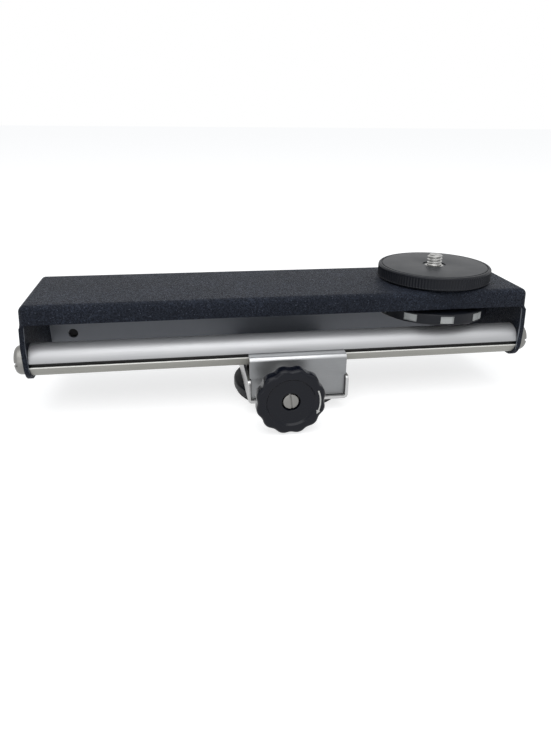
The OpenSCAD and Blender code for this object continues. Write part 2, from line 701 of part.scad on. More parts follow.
module jaw_spring() color(zinc) translate([clamp_x, rod_y, clamp_z]) {
    rings = [for (i = [-1:coil_rings + 1]) wire_ring(i)];
    last = len(rings) - 1;
    points = [for (r = rings, p = r) p];
    sides = [for (i = [0:last - 1], s = [0:wire_sides - 1])
        let(a = i * wire_sides + s, b = i * wire_sides + (s + 1) % wire_sides)
        each [[a, b, b + wire_sides], [a, b + wire_sides, a + wire_sides]]];
    caps = concat(
        [for (s = [1:wire_sides - 2]) [0, s + 1, s]],
        [for (s = [1:wire_sides - 2]) [last * wire_sides, last * wire_sides + s, last * wire_sides + s + 1]]
    );
    polyhedron(points, concat(sides, caps));
    least = min([for (i = [0:rings_per_turn - 1], j = [rings_per_turn / 2 + 1:coil_rings])
        norm(coil_point(i) - coil_point(i + j))]) - wire_d;
    echo("least gap between the spring's turns", least);
}

bridge();
rail_rod();
end_screw_left();
end_screw_right();
platform_hub();
hub_ring();
friction_washer();
platform_disc();
platform_pad();
camera_stud();
thumb_wheel();
wheel_screw();
wheel_washer();
base_channel();
base_disc();
base_pad();
tripod_bush();
rear_jaw();
jaw_rivet_left();
jaw_rivet_right();
clamp_nut();
jaw_spring();
front_jaw();
clamp_knob();
clamp_screw();
clamp_sleeve();
clamp_washer();
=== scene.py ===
# %% [markdown]
# # A macro focusing rail
# A photographer screws a camera to the knurled platform and slides the whole bridge sideways on
# its rod to focus. This lesson dresses the rail: the frame holds plain solids at their real size,
# and each cell stands a finished piece in the place of one of them. Lengths are in millimetres
# until a mesh is made, because that is how the parts of such a tool are drawn.

# %% Load the frame
import json
import math

import bmesh
import bpy
from mathutils import Matrix, Vector


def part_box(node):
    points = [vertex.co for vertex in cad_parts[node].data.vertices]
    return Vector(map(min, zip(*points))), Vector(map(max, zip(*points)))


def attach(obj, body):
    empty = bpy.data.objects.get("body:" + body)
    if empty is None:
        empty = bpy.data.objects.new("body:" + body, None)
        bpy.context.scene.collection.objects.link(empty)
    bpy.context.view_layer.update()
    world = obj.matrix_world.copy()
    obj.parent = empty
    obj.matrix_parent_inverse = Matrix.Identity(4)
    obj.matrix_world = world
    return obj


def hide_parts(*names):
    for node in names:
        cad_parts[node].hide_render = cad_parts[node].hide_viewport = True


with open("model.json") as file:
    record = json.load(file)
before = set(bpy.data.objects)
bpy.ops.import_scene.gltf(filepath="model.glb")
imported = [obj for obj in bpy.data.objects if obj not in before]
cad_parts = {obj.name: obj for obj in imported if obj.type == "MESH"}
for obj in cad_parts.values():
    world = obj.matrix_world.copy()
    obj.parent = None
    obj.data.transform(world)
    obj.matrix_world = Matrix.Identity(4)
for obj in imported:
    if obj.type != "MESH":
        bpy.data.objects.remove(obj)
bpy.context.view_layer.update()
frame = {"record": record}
MM = 0.001
body_of = {node: body for body, nodes in frame["record"]["behaviour"]["bodies"].items() for node in nodes}
slot_of = {part["node"]: part["material_slot"] for part in frame["record"]["subparts"]}

# %% [markdown]
# Every size that a piece shares with its solid is read from the solid's box, so nothing has to be
# fitted by eye. A box gives the middle of a round piece as well as its radius.

# %% Read the places of the solids
def place(node):
    """Lowest and highest corner and middle of a solid, in millimetres."""
    low, high = (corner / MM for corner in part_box(node))
    return low, high, (low + high) / 2


bridge_low, bridge_high, bridge_mid = place("bridge")
rod_low, rod_high, rod_mid = place("rail_rod")
knob_low, knob_high, knob_mid = place("clamp_knob")
disc_low, disc_high, disc_mid = place("platform_disc")
channel_low, channel_high = place("base_channel")[:2]
ROD_R = (rod_high.z - rod_low.z) / 2
SHEET = 1.8
HUB_HOLE_R, BUSH_HOLE_R, CLAMP_HOLE_R = 5.55, 5.55, 2.8
CAMERA_THREAD_R, CAMERA_PITCH = 3.175, 1.27
print("rod axis", tuple(round(v, 2) for v in rod_mid), "radius", round(ROD_R, 2))

# %% [markdown]
# ## Camera
# The camera stands where the photographer stood, a little left of the rail and above it. Its
# focal length comes from how fast the far edge of the bridge shrinks against the near one.

# %% Place the camera
EYE = Vector((-43.849, -238.974, 115.263))
GAZE = (66.4341, -0.6222, -8.829)
camera_data = bpy.data.cameras.new("camera")
camera_data.lens = 29.038
camera_data.sensor_width = 36
camera_data.clip_start = 0.01
camera = bpy.data.objects.new("camera", camera_data)
camera.location = EYE * MM
camera.rotation_euler = [math.radians(turn) for turn in GAZE]
bpy.context.scene.collection.objects.link(camera)
bpy.context.scene.camera = camera
print("camera", round(camera.location.length, 3), "m from the tripod thread")

# %% [markdown]
# ## Shader words
# Node trees are easier to read as arithmetic. A `Wire` wraps a socket, and each sum or product of
# wires adds the Math node that works it out. A `Finish` is a material with its Principled shader,
# and one method that adds any other node.

# %% Wrap sockets for arithmetic
class Wire:
    """A socket that Python arithmetic can act on."""

    def __init__(self, finish, socket):
        self.finish, self.socket = finish, socket

    def math(self, operation, *others):
        return self.finish.add("ShaderNodeMath", {"operation": operation}, dict(enumerate((self, *others))))

    def __add__(self, other):
        return self.math("ADD", other)

    def __mul__(self, other):
        return self.math("MULTIPLY", other)

    def __sub__(self, other):
        return self.math("SUBTRACT", other)

    def __rsub__(self, other):
        return (self * -1) + other

    def __abs__(self):
        return self.math("ABSOLUTE")

    def __pow__(self, other):
        return self.math("POWER", other)

    __radd__ = __add__
    __rmul__ = __mul__

    def band(self, low, high):
        """0 below low, 1 above high, and smooth between them."""
        settings = {"interpolation_type": "SMOOTHSTEP"}
        return self.finish.add("ShaderNodeMapRange", settings,
                               {"Value": self, "From Min": low, "From Max": high})


class Finish:
    """A material with short ways to add nodes to it."""

    def __init__(self, name, **values):
        self.material = bpy.data.materials.new(name)
        self.material.use_nodes = True
        self.tree = self.material.node_tree
        self.shader = self.tree.nodes["Principled BSDF"]
        self.set(**values)

    def set(self, **values):
        """Sets sockets of the shader, such as base_color or coat_weight, to values or wires."""
        for name, value in values.items():
            self.join(value, self.shader.inputs[name.replace("_", " ").title().replace("Ior", "IOR")])
        return self

    def join(self, value, socket):
        if isinstance(value, Wire):
            self.tree.links.new(value.socket, socket)
        elif isinstance(value, (tuple, list)) and len(value) == 3 and len(socket.default_value) == 4:
            socket.default_value = (*value, 1)
        else:
            socket.default_value = value

    def add(self, kind, settings=None, inputs=None, output=0):
        """Adds a node of any type: first its settings, then the values or wires of its sockets."""
        node = self.tree.nodes.new(kind)
        for name, value in (settings or {}).items():
            setattr(node, name, value)
        for name, value in (inputs or {}).items():
            self.join(value, node.inputs[name])
        return Wire(self, node.outputs[output])

    def object_place(self, stretch=(1, 1, 1)):
        """Place on the piece in millimetres, stretched along each axis."""
        spot = self.add("ShaderNodeTexCoord", output="Object")
        return self.add("ShaderNodeVectorMath", {"operation": "MULTIPLY"},
                        {0: spot, 1: tuple(s / MM for s in stretch)})

    def along(self, spot, axis):
        """One coordinate of a place."""
        return self.add("ShaderNodeSeparateXYZ", None, {0: spot}, output=axis)

    def noise(self, spot, size, detail=2.0, distortion=0.0):
        """Noise from 0 to 1 with lumps of a size in millimetres."""
        return self.add("ShaderNodeTexNoise", None,
                        {"Vector": spot, "Scale": 1 / size, "Detail": detail, "Distortion": distortion})

    def blend(self, factor, first, second):
        """A colour between two colours."""
        node_factor, node_a, node_b = 0, 6, 7
        return self.add("ShaderNodeMix", {"data_type": "RGBA"},
                        {node_factor: factor, node_a: first, node_b: second}, output=2)

    def emboss(self, height, depth, strength):
        """Feeds a height from 0 to 1, over a depth in millimetres, to the shader's normal."""
        bump = self.add("ShaderNodeBump", None,
                        {"Height": height, "Distance": depth * MM, "Strength": strength})
        return self.set(normal=bump)


print("shader words ready")

# %% [markdown]
# ## Finishes
# The bridge is sheet metal under wrinkle paint, which dries into a net of fine raised worms about
# a millimetre apart. Noise passes through its middle value along just such winding lines, so the
# distance from that middle value makes the worms. Their crests are painted lighter than the pits, as
# painted light, and some carry painted glints.

# %% Mix the wrinkle paint
finishes = {}


def wrinkle_paint():
    """Blue-black paint with crests painted paler than the pits as painted light, painted glints on some
    crests, and thicker and thinner patches.
    """
    pit, painted_crest_light, painted_glint_colour = (0.008, 0.010, 0.016), (0.038, 0.048, 0.072), (0.11, 0.125, 0.16)
    paint = Finish("wrinkle_paint", specular_ior_level=0.13)
    spot = paint.object_place()
    lumps = paint.noise(spot, 0.75, detail=2, distortion=0.8)
    worms = 1 - abs(lumps - 0.5).band(0.0, 0.10)
    # Painted glints: pale specks on some crests.
    painted_glints = paint.noise(spot, 0.6, detail=1).band(0.63, 0.72)
    patches = paint.noise(spot, 26, detail=2).band(0.3, 0.7)
    # Painted light: the crests are coloured lighter than the pits.
    crest = worms * (patches * 0.5 + 0.5)
    body = paint.blend(crest, pit, painted_crest_light)
    paint.set(base_color=paint.blend(painted_glints * worms, body, painted_glint_colour),
              roughness=0.66 - worms * 0.22)
    return paint.emboss(worms, 0.22, 0.9)


finishes["wrinkle_black"] = wrinkle_paint()
print("wrinkle paint:", len(finishes["wrinkle_black"].tree.nodes), "nodes")

# %% [markdown]
# Inside, the sheet carries a thin smooth coat, a paler blue grey than the wrinkled skin. Soft
# clouds vary its colour and gloss, and a very shallow grain keeps it from looking like plastic.

# %% Mix the smooth paint inside the bridge
def smooth_paint():
    """Thin smooth coat in clouds of two blue greys."""
    paint = Finish("smooth_paint", specular_ior_level=0.9)
    spot = paint.object_place()
    cloud = paint.noise(spot, 9, detail=4)
    grain = paint.noise(spot, 0.35, detail=2)
    paint.set(base_color=paint.blend(cloud, (0.135, 0.150, 0.180), (0.185, 0.200, 0.235)),
              roughness=0.36 + cloud * 0.16)
    return paint.emboss(grain, 0.02, 0.4)


smooth_inside = smooth_paint()
print("smooth paint ready")

# %% [markdown]
# The rod was drawn through a die, which leaves fine lines along it. Towards its top the metal is
# painted lighter, a painted highlight that brings the rod nearer to its real brightness than light
# alone did. That is a guess: it brings the rod nearer to its real brightness than light alone did. The
# side under the groove is duller and warmer, the groove is painted dark as painted shade, and its
# lower edge carries a painted highlight. The other metals share one satin finish: noise stretched
# along the grain draws its lines, and the front jaw's bend gets the same painted highlight.

# %% Mix the metals
def drawn_metal(name, bright, painted_top_highlight, dull, below, rough):
    """Metal with lines along X, a painted highlight towards the top and duller from somewhat below the axis.
    """
    # The edge colour is a painted highlight, and the last colour is painted shade.
    scratch, edge, groove_shade_colour = (0.18, 0.18, 0.18), (0.80, 0.80, 0.77), (0.035, 0.035, 0.034)
    metal = Finish(name, metallic=0.7, specular_ior_level=0.5)
    spot = metal.object_place()
    lines = metal.noise(metal.object_place((0.012, 1, 1)), 0.22, detail=3)
    smears = metal.noise(metal.object_place((0.35, 1, 1)), 5, detail=4)
    marks = metal.noise(spot, 1.6, detail=3).band(0.70, 0.78)
    y, z = metal.along(spot, 1) - rod_mid.y, metal.along(spot, 2) - rod_mid.z
    under = (-below - z).band(-0.2, 0.2)
    # Painted highlight: the colour grows lighter towards the rod's top.
    upper = metal.blend((z - 0.4).band(0, 4.6), bright, painted_top_highlight)
    colour = metal.blend(under, upper, dull)
    worn = metal.blend(lines * 0.22 + marks * 0.25, colour, scratch)
    # Painted highlight: a pale band of the edge colour along the groove's lower edge.
    painted_highlight = metal.blend(1 - abs(z + below + 0.2).band(0.10, 0.26), worn, edge)
    # Painted shade: inside the groove the colour darkens to near black.
    groove_shade = 1 - ((y * y + z * z) ** 0.5).band(ROD_R - 0.9, ROD_R - 0.2)
    metal.set(base_color=metal.blend(groove_shade, painted_highlight, groove_shade_colour),
              roughness=rough + smears * 0.12 + under * 0.10 + lines * 0.06)
    return metal.emboss(lines, 0.012, 0.5)


SHEET_GRAIN, NO_GRAIN = (0.08, 1, 1), (1, 1, 1)


def satin_metal(name, colour, rough, grain=0.28, stretch=SHEET_GRAIN, metallic=1.0, highlight_above=None):
    """Satin metal whose grain the stretch draws out into lines, with a painted highlight above a height."""
    painted_highlight = (0.60, 0.61, 0.62)
    metal = Finish(name, metallic=metallic)
    lines = metal.noise(metal.object_place(stretch), grain, detail=3)
    cloud = metal.noise(metal.object_place(), 6, detail=3)
    dark = tuple(0.8 * c for c in colour)
    shade = metal.blend(lines * 0.5 + cloud * 0.4, colour, dark)
    if highlight_above is not None:
        # Painted highlight: lighter colour above the given height, on the front jaw's lip.
        height = metal.along(metal.object_place(), 2)
        shade = metal.blend((height - highlight_above).band(0, 0.8), shade, painted_highlight)
    metal.set(base_color=shade, roughness=rough + cloud * 0.10 + lines * 0.05)
    return metal.emboss(lines, 0.01, 0.5)


finishes["bright_rod"] = drawn_metal("bright_rod", (0.42, 0.425, 0.435), (0.65, 0.655, 0.67),
                                     (0.395, 0.39, 0.36), 1.2, 0.45)
finishes["satin_aluminium"] = satin_metal("satin_aluminium", (0.52, 0.52, 0.52), 0.32)
# Painted shade: the jaw's aluminium is darker than the channel's, for the darker surroundings its face
# reflects.
finishes["jaw_aluminium"] = satin_metal("jaw_aluminium", (0.29, 0.296, 0.303), 0.26, metallic=0.65,
                                        highlight_above=place("front_jaw")[1].z - 1.7)
for slot, colour, rough, grain in (("nickel_screws", (0.245, 0.242, 0.232), 0.30, 0.5),
                                   ("zinc_steel", (0.58, 0.58, 0.56), 0.34, 0.6),
                                   ("camera_stud", (0.46, 0.46, 0.45), 0.25, 0.5),
                                   ("spring_steel", (0.45, 0.45, 0.46), 0.25, 0.5)):
    finishes[slot] = satin_metal(slot, colour, rough, grain, NO_GRAIN)
bare_metal = satin_metal("bare_metal", (0.50, 0.515, 0.51), 0.45, 0.4, NO_GRAIN, metallic=0.1)
print(len(finishes), "finishes so far")

# %% [markdown]
# Anodised aluminium, moulded plastic and rubber are all near black, and differ in how they shine.
# Each gets faint clouds of gloss, because fingers and dust never leave a dark surface even.

# %% Mix the dark finishes
def dark_finish(name, colour, rough, grain=0.25, depth=0.01, specular=0.5, lift=1.5):
    """A dark surface with a fine grain and clouds of gloss."""
    dark = Finish(name, specular_ior_level=specular)
    spot = dark.object_place()
    cloud = dark.noise(spot, 7, detail=4)
    fine = dark.noise(spot, grain, detail=2)
    lifted = tuple(lift * c for c in colour)
    dark.set(base_color=dark.blend(cloud * 0.6 + fine * 0.3, colour, lifted),
             roughness=rough + cloud * 0.14)
    return dark.emboss(fine, depth, 0.5)


for slot, colour, rough, grain, depth, specular in (
        ("black_anodised", (0.006, 0.007, 0.010), 0.36, 0.25, 0.01, 0.20),
        ("wheel_black", (0.006, 0.007, 0.010), 0.34, 0.25, 0.01, 0.22),
        ("platform_pad", (0.015, 0.017, 0.020), 0.40, 0.25, 0.01, 0.35),
        ("knob_black", (0.003, 0.004, 0.008), 0.14, 0.5, 0.01, 0.22),
        ("rubber", (0.016, 0.016, 0.017), 0.70, 0.4, 0.03, 0.3),
        ("fibre_washer", (0.020, 0.019, 0.018), 0.75, 0.3, 0.03, 0.3)):
    finishes[slot] = dark_finish(slot, colour, rough, grain, depth, specular)
mark_white = dark_finish("mark_white", (0.56, 0.56, 0.54), 0.5, lift=1.1)
print("finishes:", ", ".join(sorted(finishes)))

# %% [markdown]
# ## Ways to make a shape
# Nearly every part of this tool comes from a lathe, a press or a drawing die, so three helpers do
# most of the work. The first rounds the corners of a drawn outline, because no real edge is sharp:
# a small radius gives each edge the thin highlight that makes it look made.

# %% Round the corners of an outline
def rounded(points, radii, steps=4):
    """A closed outline whose corners have the given radii. A radius of 0 keeps a corner sharp."""
    outline = []
    for i, radius in enumerate(radii):
        corner = Vector(points[i])
        if radius <= 0:
            outline.append(corner)
            continue
        back = (Vector(points[i - 1]) - corner).normalized()
        ahead = (Vector(points[(i + 1) % len(points)]) - corner).normalized()
        half = back.angle(ahead) / 2
        middle = corner + (back + ahead).normalized() * (radius / math.sin(half))
        first = corner + back * (radius / math.tan(half)) - middle
        last = corner + ahead * (radius / math.tan(half)) - middle
        sweep = math.pi - 2 * half
        for k in range(steps + 1):
            t = k / steps
            weights = math.sin((1 - t) * sweep), math.sin(t * sweep)
            outline.append(middle + (first * weights[0] + last * weights[1]) / math.sin(sweep))
    return outline


print(len(rounded([(0, 0), (4, 0), (4, 4), (0, 4)], [0, 1, 1, 0])), "points on a test outline")

# %% [markdown]
# A lathe turns a profile of radius and height about an axis. The optional `shape` changes each
# point as it turns, which is how knurls, waves, notches and threads come out of one helper.

# %% Turn a profile on the lathe
def turned(profile, turns=96, shape=None):
    """Points and faces of a closed profile turned about Z. A point of radius 0 becomes a pole."""
    angles = turns if isinstance(turns, list) else [math.tau * k / turns for k in range(turns)]
    points, faces, rings = [], [], []
    for radius, height in profile:
        start = len(points)
        if radius < 1e-6:
            points.append((0, 0, height))
            rings.append([start])
            continue
        for angle in angles:
            r, z = shape(angle, radius, height) if shape else (radius, height)
            points.append((r * math.cos(angle), r * math.sin(angle), z))
        rings.append(list(range(start, len(points))))
    for one, two in zip(rings, rings[1:] + rings[:1]):
        if len(one) + len(two) == 2:
            continue
        for k in range(len(angles)):
            corners = [one[k % len(one)], one[(k + 1) % len(one)], two[(k + 1) % len(two)], two[k % len(two)]]
            faces.append(list(dict.fromkeys(corners)))
    return points, faces


print("a turned ring has", len(turned([(2, 0), (3, 0), (3, 1), (2, 1)])[1]), "faces")

# %% [markdown]
# A press folds flat sheet. The helper walks along the bend line by line: each station gives the
# place and direction of the sheet's outer skin and how far the sheet reaches to both sides.

# %% Fold a sheet
def folded(stations, thickness, along_y=False):
    """Points and faces of a bent sheet from stations of (u, z, normal u, normal z, low, high)."""
    points, faces = [], []
    for u, z, nu, nz, low, high in stations:
        for depth, reach in ((0, low), (0, high), (thickness, high), (thickness, low)):
            a, b = u - nu * depth, z - nz * depth
            points.append((a, reach, b) if along_y else (reach, a, b))
    for k in range(0, len(points) - 4, 4):
        faces += [(k + i, k + (i + 1) % 4, k + 4 + (i + 1) % 4, k + 4 + i) for i in range(4)]
    return points, faces + [(0, 1, 2, 3), tuple(range(len(points) - 4, len(points)))]


def bend(middle, radius, start, stop, low, high, steps=8, inward=False):
    """Stations round a bend, from one angle to another in degrees."""
    side = -1 if inward else 1
    turn = [math.radians(start + (stop - start) * k / steps) for k in range(steps + 1)]
    return [(middle[0] + radius * math.cos(a), middle[1] + radius * math.sin(a),
             side * math.cos(a), side * math.sin(a), low, high) for a in turn]


print("folding ready")

# %% [markdown]
# The rod is drawn through a die, so it is one outline stretched along X, with softened ends.

# %% Draw an outline along X
def drawn(outline, start, stop, edge, steps=3):
    """Points and faces of a closed outline in Y and Z, drawn from start to stop along X."""
    count = len(outline)
    inward = []
    for i in range(count):
        before, here, after = (Vector(outline[j % count]) for j in (i - 1, i, i + 1))
        first, second = (here - before).normalized(), (after - here).normalized()
        normal = Vector((-first.y - second.y, first.x + second.x)).normalized()
        inward.append(normal / max(0.5, normal.dot(Vector((-first.y, first.x)))))
    rows = [(start + edge * (1 - math.cos(math.pi / 2 * k / steps)),
             edge * (1 - math.sin(math.pi / 2 * k / steps))) for k in range(steps + 1)]
    rows += [(start + stop - x, inset) for x, inset in reversed(rows)]
    points = [(x, *(Vector(outline[i]) + inward[i] * inset)) for x, inset in rows for i in range(count)]
    faces = [(r + i, r + (i + 1) % count, r + count + (i + 1) % count, r + count + i)
             for r in range(0, len(points) - count, count) for i in range(count)]
    return points, faces + [tuple(range(count)), tuple(range(len(points) - count, len(points)))]


print("drawing ready")

# %% [markdown]
# Each finished shape becomes a piece: it takes the body and the finish slot of the solid that it
# stands for, and that solid is hidden. Bevels and holes are worked into the mesh at once.

# %% Make a piece, bevel it and drill it
def new_mesh(name, shape, looks, pick=None, at=None):
    """A mesh object in metres from points and faces in millimetres."""
    points, faces = shape
    mesh = bpy.data.meshes.new(name)
    mesh.from_pydata([Vector(p) for p in points], [], faces)
    for look in looks:
        mesh.materials.append(look.material)
    for i, face in enumerate(mesh.polygons if pick else []):
        face.material_index = pick[i] if isinstance(pick, list) else pick(face.center)
    mesh.transform(Matrix.Scale(MM, 4) @ (at or Matrix()))
    work = bmesh.new()
    work.from_mesh(mesh)
    bmesh.ops.remove_doubles(work, verts=work.verts, dist=1e-7)
    bmesh.ops.recalc_face_normals(work, faces=work.faces)
    work.to_mesh(mesh)
    work.free()
    obj = bpy.data.objects.new(name, mesh)
    bpy.context.scene.collection.objects.link(obj)
    return obj


def settle(obj, kind, **settings):
    """Runs one modifier on a piece and keeps its result as the mesh."""
    modifier = obj.modifiers.new(kind.lower(), kind)
    for key, value in settings.items():
        setattr(modifier, key, value)
    result = bpy.data.meshes.new_from_object(obj.evaluated_get(bpy.context.evaluated_depsgraph_get()))
    obj.modifiers.clear()
    old, obj.data = obj.data, result
    bpy.data.meshes.remove(old)


def soften(obj, width, steps=3):
    """Rounds the edges that turn by more than 40 degrees."""
    settle(obj, "BEVEL", width=width * MM, segments=steps, limit_method="ANGLE",
           angle_limit=math.radians(40), use_clamp_overlap=True)


def drill(obj, shape, look, at=None):
    """Cuts a shape out of a piece and gives the cut the look of a number."""
    cutter = new_mesh("cutter", shape, [], None, at)
    for slot in obj.data.materials:
        cutter.data.materials.append(slot)
    for face in cutter.data.polygons:
        face.material_index = look
    settle(obj, "BOOLEAN", object=cutter, operation="DIFFERENCE", solver="EXACT")
    mesh = cutter.data
    bpy.data.objects.remove(cutter)
    bpy.data.meshes.remove(mesh)


def stand_for(obj, node, smooth=35):
    """Shades a piece and stands it in the place of a solid."""
    obj.data.shade_smooth()
    obj.data.set_sharp_from_angle(angle=math.radians(smooth))
    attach(obj, body_of[node])
    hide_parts(node)
    print(f"{obj.name}: {len(obj.data.polygons)} faces for {node}")
    return obj


def make(name, node, shape, pick=None, at=None, looks=None, smooth=35):
    """The short way: a piece with the finish of its solid's slot."""
    return stand_for(new_mesh(name, shape, looks or [finishes[slot_of[node]]], pick, at), node, smooth)


def upright(x, y, z=0.0):
    """Stands a turned shape upright at a place."""
    return Matrix.Translation((x, y, z))


def forward(x, y, z):
    """Turns a shape's own Z to the front."""
    return Matrix.Translation((x, y, z)) @ Matrix.Rotation(math.pi / 2, 4, "X")


def sideways(x, y, z, side=1):
    """Turns a shape's own Z to the right, or with a side of -1 to the left."""
    return Matrix.Translation((x, y, z)) @ Matrix.Rotation(side * math.pi / 2, 4, "Y")


print("ready to make pieces")

# %% [markdown]
# ## The bridge
# The bridge was pressed from one sheet: a top, a lip along the front, two end walls that lean out
# towards the rod and a deep rear wall. Its skin is a grid of columns round the outline and rows
# from the top's edge down. A column is a corner, a turn round that corner and a way along the end
# wall. Seen from above, the columns trace the outline from the left wall round to the rear.

# %% Lay out the bridge's columns
BEND_R, CORNER_R, FLARE, LIP_H = 2.4, 2.2, 1.2, 7.4
FRONT_LOW_R = rod_mid.y - bridge_low.y
half_low = (bridge_high.x - bridge_low.x) / 2
joggle_z = rod_mid.z + ROD_R + 0.2
lip_z = bridge_high.z - LIP_H
cut_turn = math.acos((CORNER_R - SHEET) / CORNER_R)


def in_plan(column, inset, square):
    """Place of a column in plan. Where square is set, the front corners get a sheared edge."""
    corner, turn, along = column
    side_x, side_y = ((-1, -1), (1, -1), (1, 1), (-1, 1))[corner]
    radius, short = max(0, CORNER_R - inset), min(0, CORNER_R - inset)
    out_x, out_y = radius * math.cos(turn) + short, radius * math.sin(turn) + short
    if square and side_y < 0 and turn <= cut_turn + 1e-9:
        out_x, out_y = radius, CORNER_R * math.sin(turn) / math.sin(cut_turn)
    face_y = bridge_low.y if side_y < 0 else bridge_high.y
    return (bridge_mid.x + side_x * (half_low - CORNER_R + out_x),
            face_y + side_y * (out_y - CORNER_R - along))


def quarter(first, last, steps):
    """Turns from the first to the last in even steps."""
    return [first + (last - first) * k / steps for k in range(steps + 1)]


along_wall = [(FRONT_LOW_R - CORNER_R) * k / 4 for k in range(1, 5)]
from_wall = quarter(0, cut_turn, 6) + quarter(cut_turn, math.pi / 2, 2)[1:]
columns = [(0, 0, step) for step in reversed(along_wall)] + [(0, turn, 0) for turn in from_wall]
columns += [(1, turn, 0) for turn in reversed(from_wall)] + [(1, 0, step) for step in along_wall]
columns += [(2, turn, 0) for turn in quarter(0, math.pi / 2, 8)]
columns += [(3, turn, 0) for turn in reversed(quarter(0, math.pi / 2, 8))]
print(len(columns), "columns round the bridge")

# %% [markdown]
# The first rows run over the bend at the top's edge. The later ones step down the walls: past the
# lip, past the joggle where the end walls come to lie against the rod's ends, and to the lower
# edge, which is rounded about the rod in front. The lean eases in, so that the joggle is no crease.

# %% Place one point of the skin
BEND_STEPS, EASE = 8, 0.08
wall_rows = [lip_z, lip_z - 1.2, joggle_z + 3, joggle_z + 1, joggle_z, joggle_z - 2, rod_mid.z, None]


def bridge_point(column, row, inset):
    """A point of the skin at an inset from the sheet's outer face."""
    if row <= BEND_STEPS:
        turn = math.pi / 2 * row / BEND_STEPS
        radius = BEND_R - inset
        x, y = in_plan(column, inset + radius * (1 - math.sin(turn)), 0)
        z = bridge_high.z - inset - radius * (1 - math.cos(turn))
    else:
        x, y = in_plan(column, inset, row > BEND_STEPS + 1)
        z = wall_rows[row - BEND_STEPS - 1]
        ahead = FRONT_LOW_R - (y - bridge_low.y)
        lowest = bridge_low.z
        if column[0] < 2 and ahead > 0:
            lowest += FRONT_LOW_R - math.sqrt(max(0, FRONT_LOW_R ** 2 - ahead ** 2))
        z = lowest if z is None else max(z, lowest)
    lean = min(1, max(0, (z - joggle_z) / (bridge_high.z - joggle_z)))
    lean = (lean * lean / (2 * EASE) if lean < EASE else lean - EASE / 2) / (1 - EASE / 2)
    return (bridge_mid.x + (x - bridge_mid.x) * (1 - FLARE * lean / half_low), y, z)


print("lip ends at", round(lip_z, 2), "mm, joggle at", round(joggle_z, 2), "mm")

# %% [markdown]
# The same grid, drawn again one sheet further in, gives the inside, and wherever the skin ends the
# two are joined, which leaves the sheet's cut edge. The grid stops at the lip in front, so the
# window under the lip is simply never filled. Wrinkle paint also covers the end walls inside.

# %% Press the bridge
END_WALL_TURN = 0.8


def press_bridge():
    """Points and faces of the bridge, and the look of each face: 0 wrinkled, 1 smooth."""
    rows = BEND_STEPS + len(wall_rows) + 1
    count = len(columns)
    points = [bridge_point(column, row, inset) for inset in (0, SHEET) for row in range(rows)
              for column in columns]
    inner = rows * count
    front = [k for k in range(count) if columns[k][0] < 2 and columns[k][1] >= cut_turn - 1e-9]
    faces, inside, edges = [], [], {}
    for row in range(rows - 1):
        for k in range(count):
            after = (k + 1) % count
            if row > BEND_STEPS and k in front and after in front:
                continue
            face = (row * count + k, row * count + after, (row + 1) * count + after, (row + 1) * count + k)
            faces.append(face)
            on_end_wall = max(columns[k][1], columns[after][1]) < END_WALL_TURN
            inside.append(0 if row > BEND_STEPS / 2 and on_end_wall else 1)
            for a, b in zip(face, face[1:] + face[:1]):
                key = (min(a, b), max(a, b))
                edges[key] = edges.get(key, 0) + 1
    skin = faces + [tuple(range(count))]
    rims = [edge for edge, uses in edges.items() if uses == 1 and max(edge) >= count]
    faces = skin + [tuple(i + inner for i in face) for face in skin]
    looks = [0] * len(skin) + inside + [1] + [0] * len(rims)
    faces += [(a, b, b + inner, a + inner) for a, b in rims]
    return (points, faces), looks


bridge_shape, bridge_looks = press_bridge()
bridge_skin = new_mesh("wrinkled_bridge", bridge_shape, [finishes["wrinkle_black"], smooth_inside],
                       bridge_looks)
soften(bridge_skin, 0.4)
print("bridge skin", len(bridge_skin.data.polygons), "faces")

# %% [markdown]
# Four holes go through the sheet: one for the hub of the platform, two for the end screws and a
# small empty one near the left end of the rear wall. A turned cutter drills each. The same kind of
# cutter, as flat and wide as the thumb wheel with some room, saws the slot that the wheel turns in.

# %% Drill the bridge
END_SCREW_HOLE_R, WALL_HOLE_R, WALL_HOLE_INSET, WALL_HOLE_DROP = 2.45, 2.1, 9.8, 2.9
THROUGH, RIM_T, ROOM = 8, 4.6, 0.8
WRINKLED, SMOOTH = 0, 1


def drill_bit(radius, length):
    """A turned cutter whose middle is at the origin."""
    return turned([(0, -length / 2), (radius, -length / 2), (radius, length / 2), (0, length / 2)], 48)


hub_x, hub_y = disc_mid.x, disc_mid.y
hole_at = forward(bridge_low.x + SHEET + WALL_HOLE_INSET, bridge_high.y, rod_mid.z - WALL_HOLE_DROP)
drill(bridge_skin, drill_bit(HUB_HOLE_R, THROUGH), SMOOTH, upright(hub_x, hub_y, bridge_high.z))
for end in (bridge_low.x, bridge_high.x):
    drill(bridge_skin, drill_bit(END_SCREW_HOLE_R, THROUGH), SMOOTH, sideways(end, rod_mid.y, rod_mid.z))
drill(bridge_skin, drill_bit(WALL_HOLE_R, THROUGH), SMOOTH, hole_at)
wheel_low, wheel_high = place("thumb_wheel")[:2]
wheel_r = (wheel_high.x - wheel_low.x) / 2
saw = turned([(0, -ROOM), (wheel_r + ROOM, -ROOM), (wheel_r + ROOM, RIM_T + ROOM), (0, RIM_T + ROOM)], 128)
drill(bridge_skin, saw, WRINKLED, upright(hub_x, hub_y, wheel_low.z))
stand_for(bridge_skin, "bridge", 30)

# %% [markdown]
# The small hole is kept dark although everything behind it is white: a thin turned dark disc closes
# its back as painted shade. It stands for no solid, so it only rides on the bridge's body.

# %% Close the small hole with painted shade
SHADE_DISC_R, SHADE_DISC_T = WALL_HOLE_R - 0.05, 0.7
profile = rounded([(0, 0), (SHADE_DISC_R, 0), (SHADE_DISC_R, SHADE_DISC_T), (0, SHADE_DISC_T)], [0, 0.1, 0.15, 0], 3)
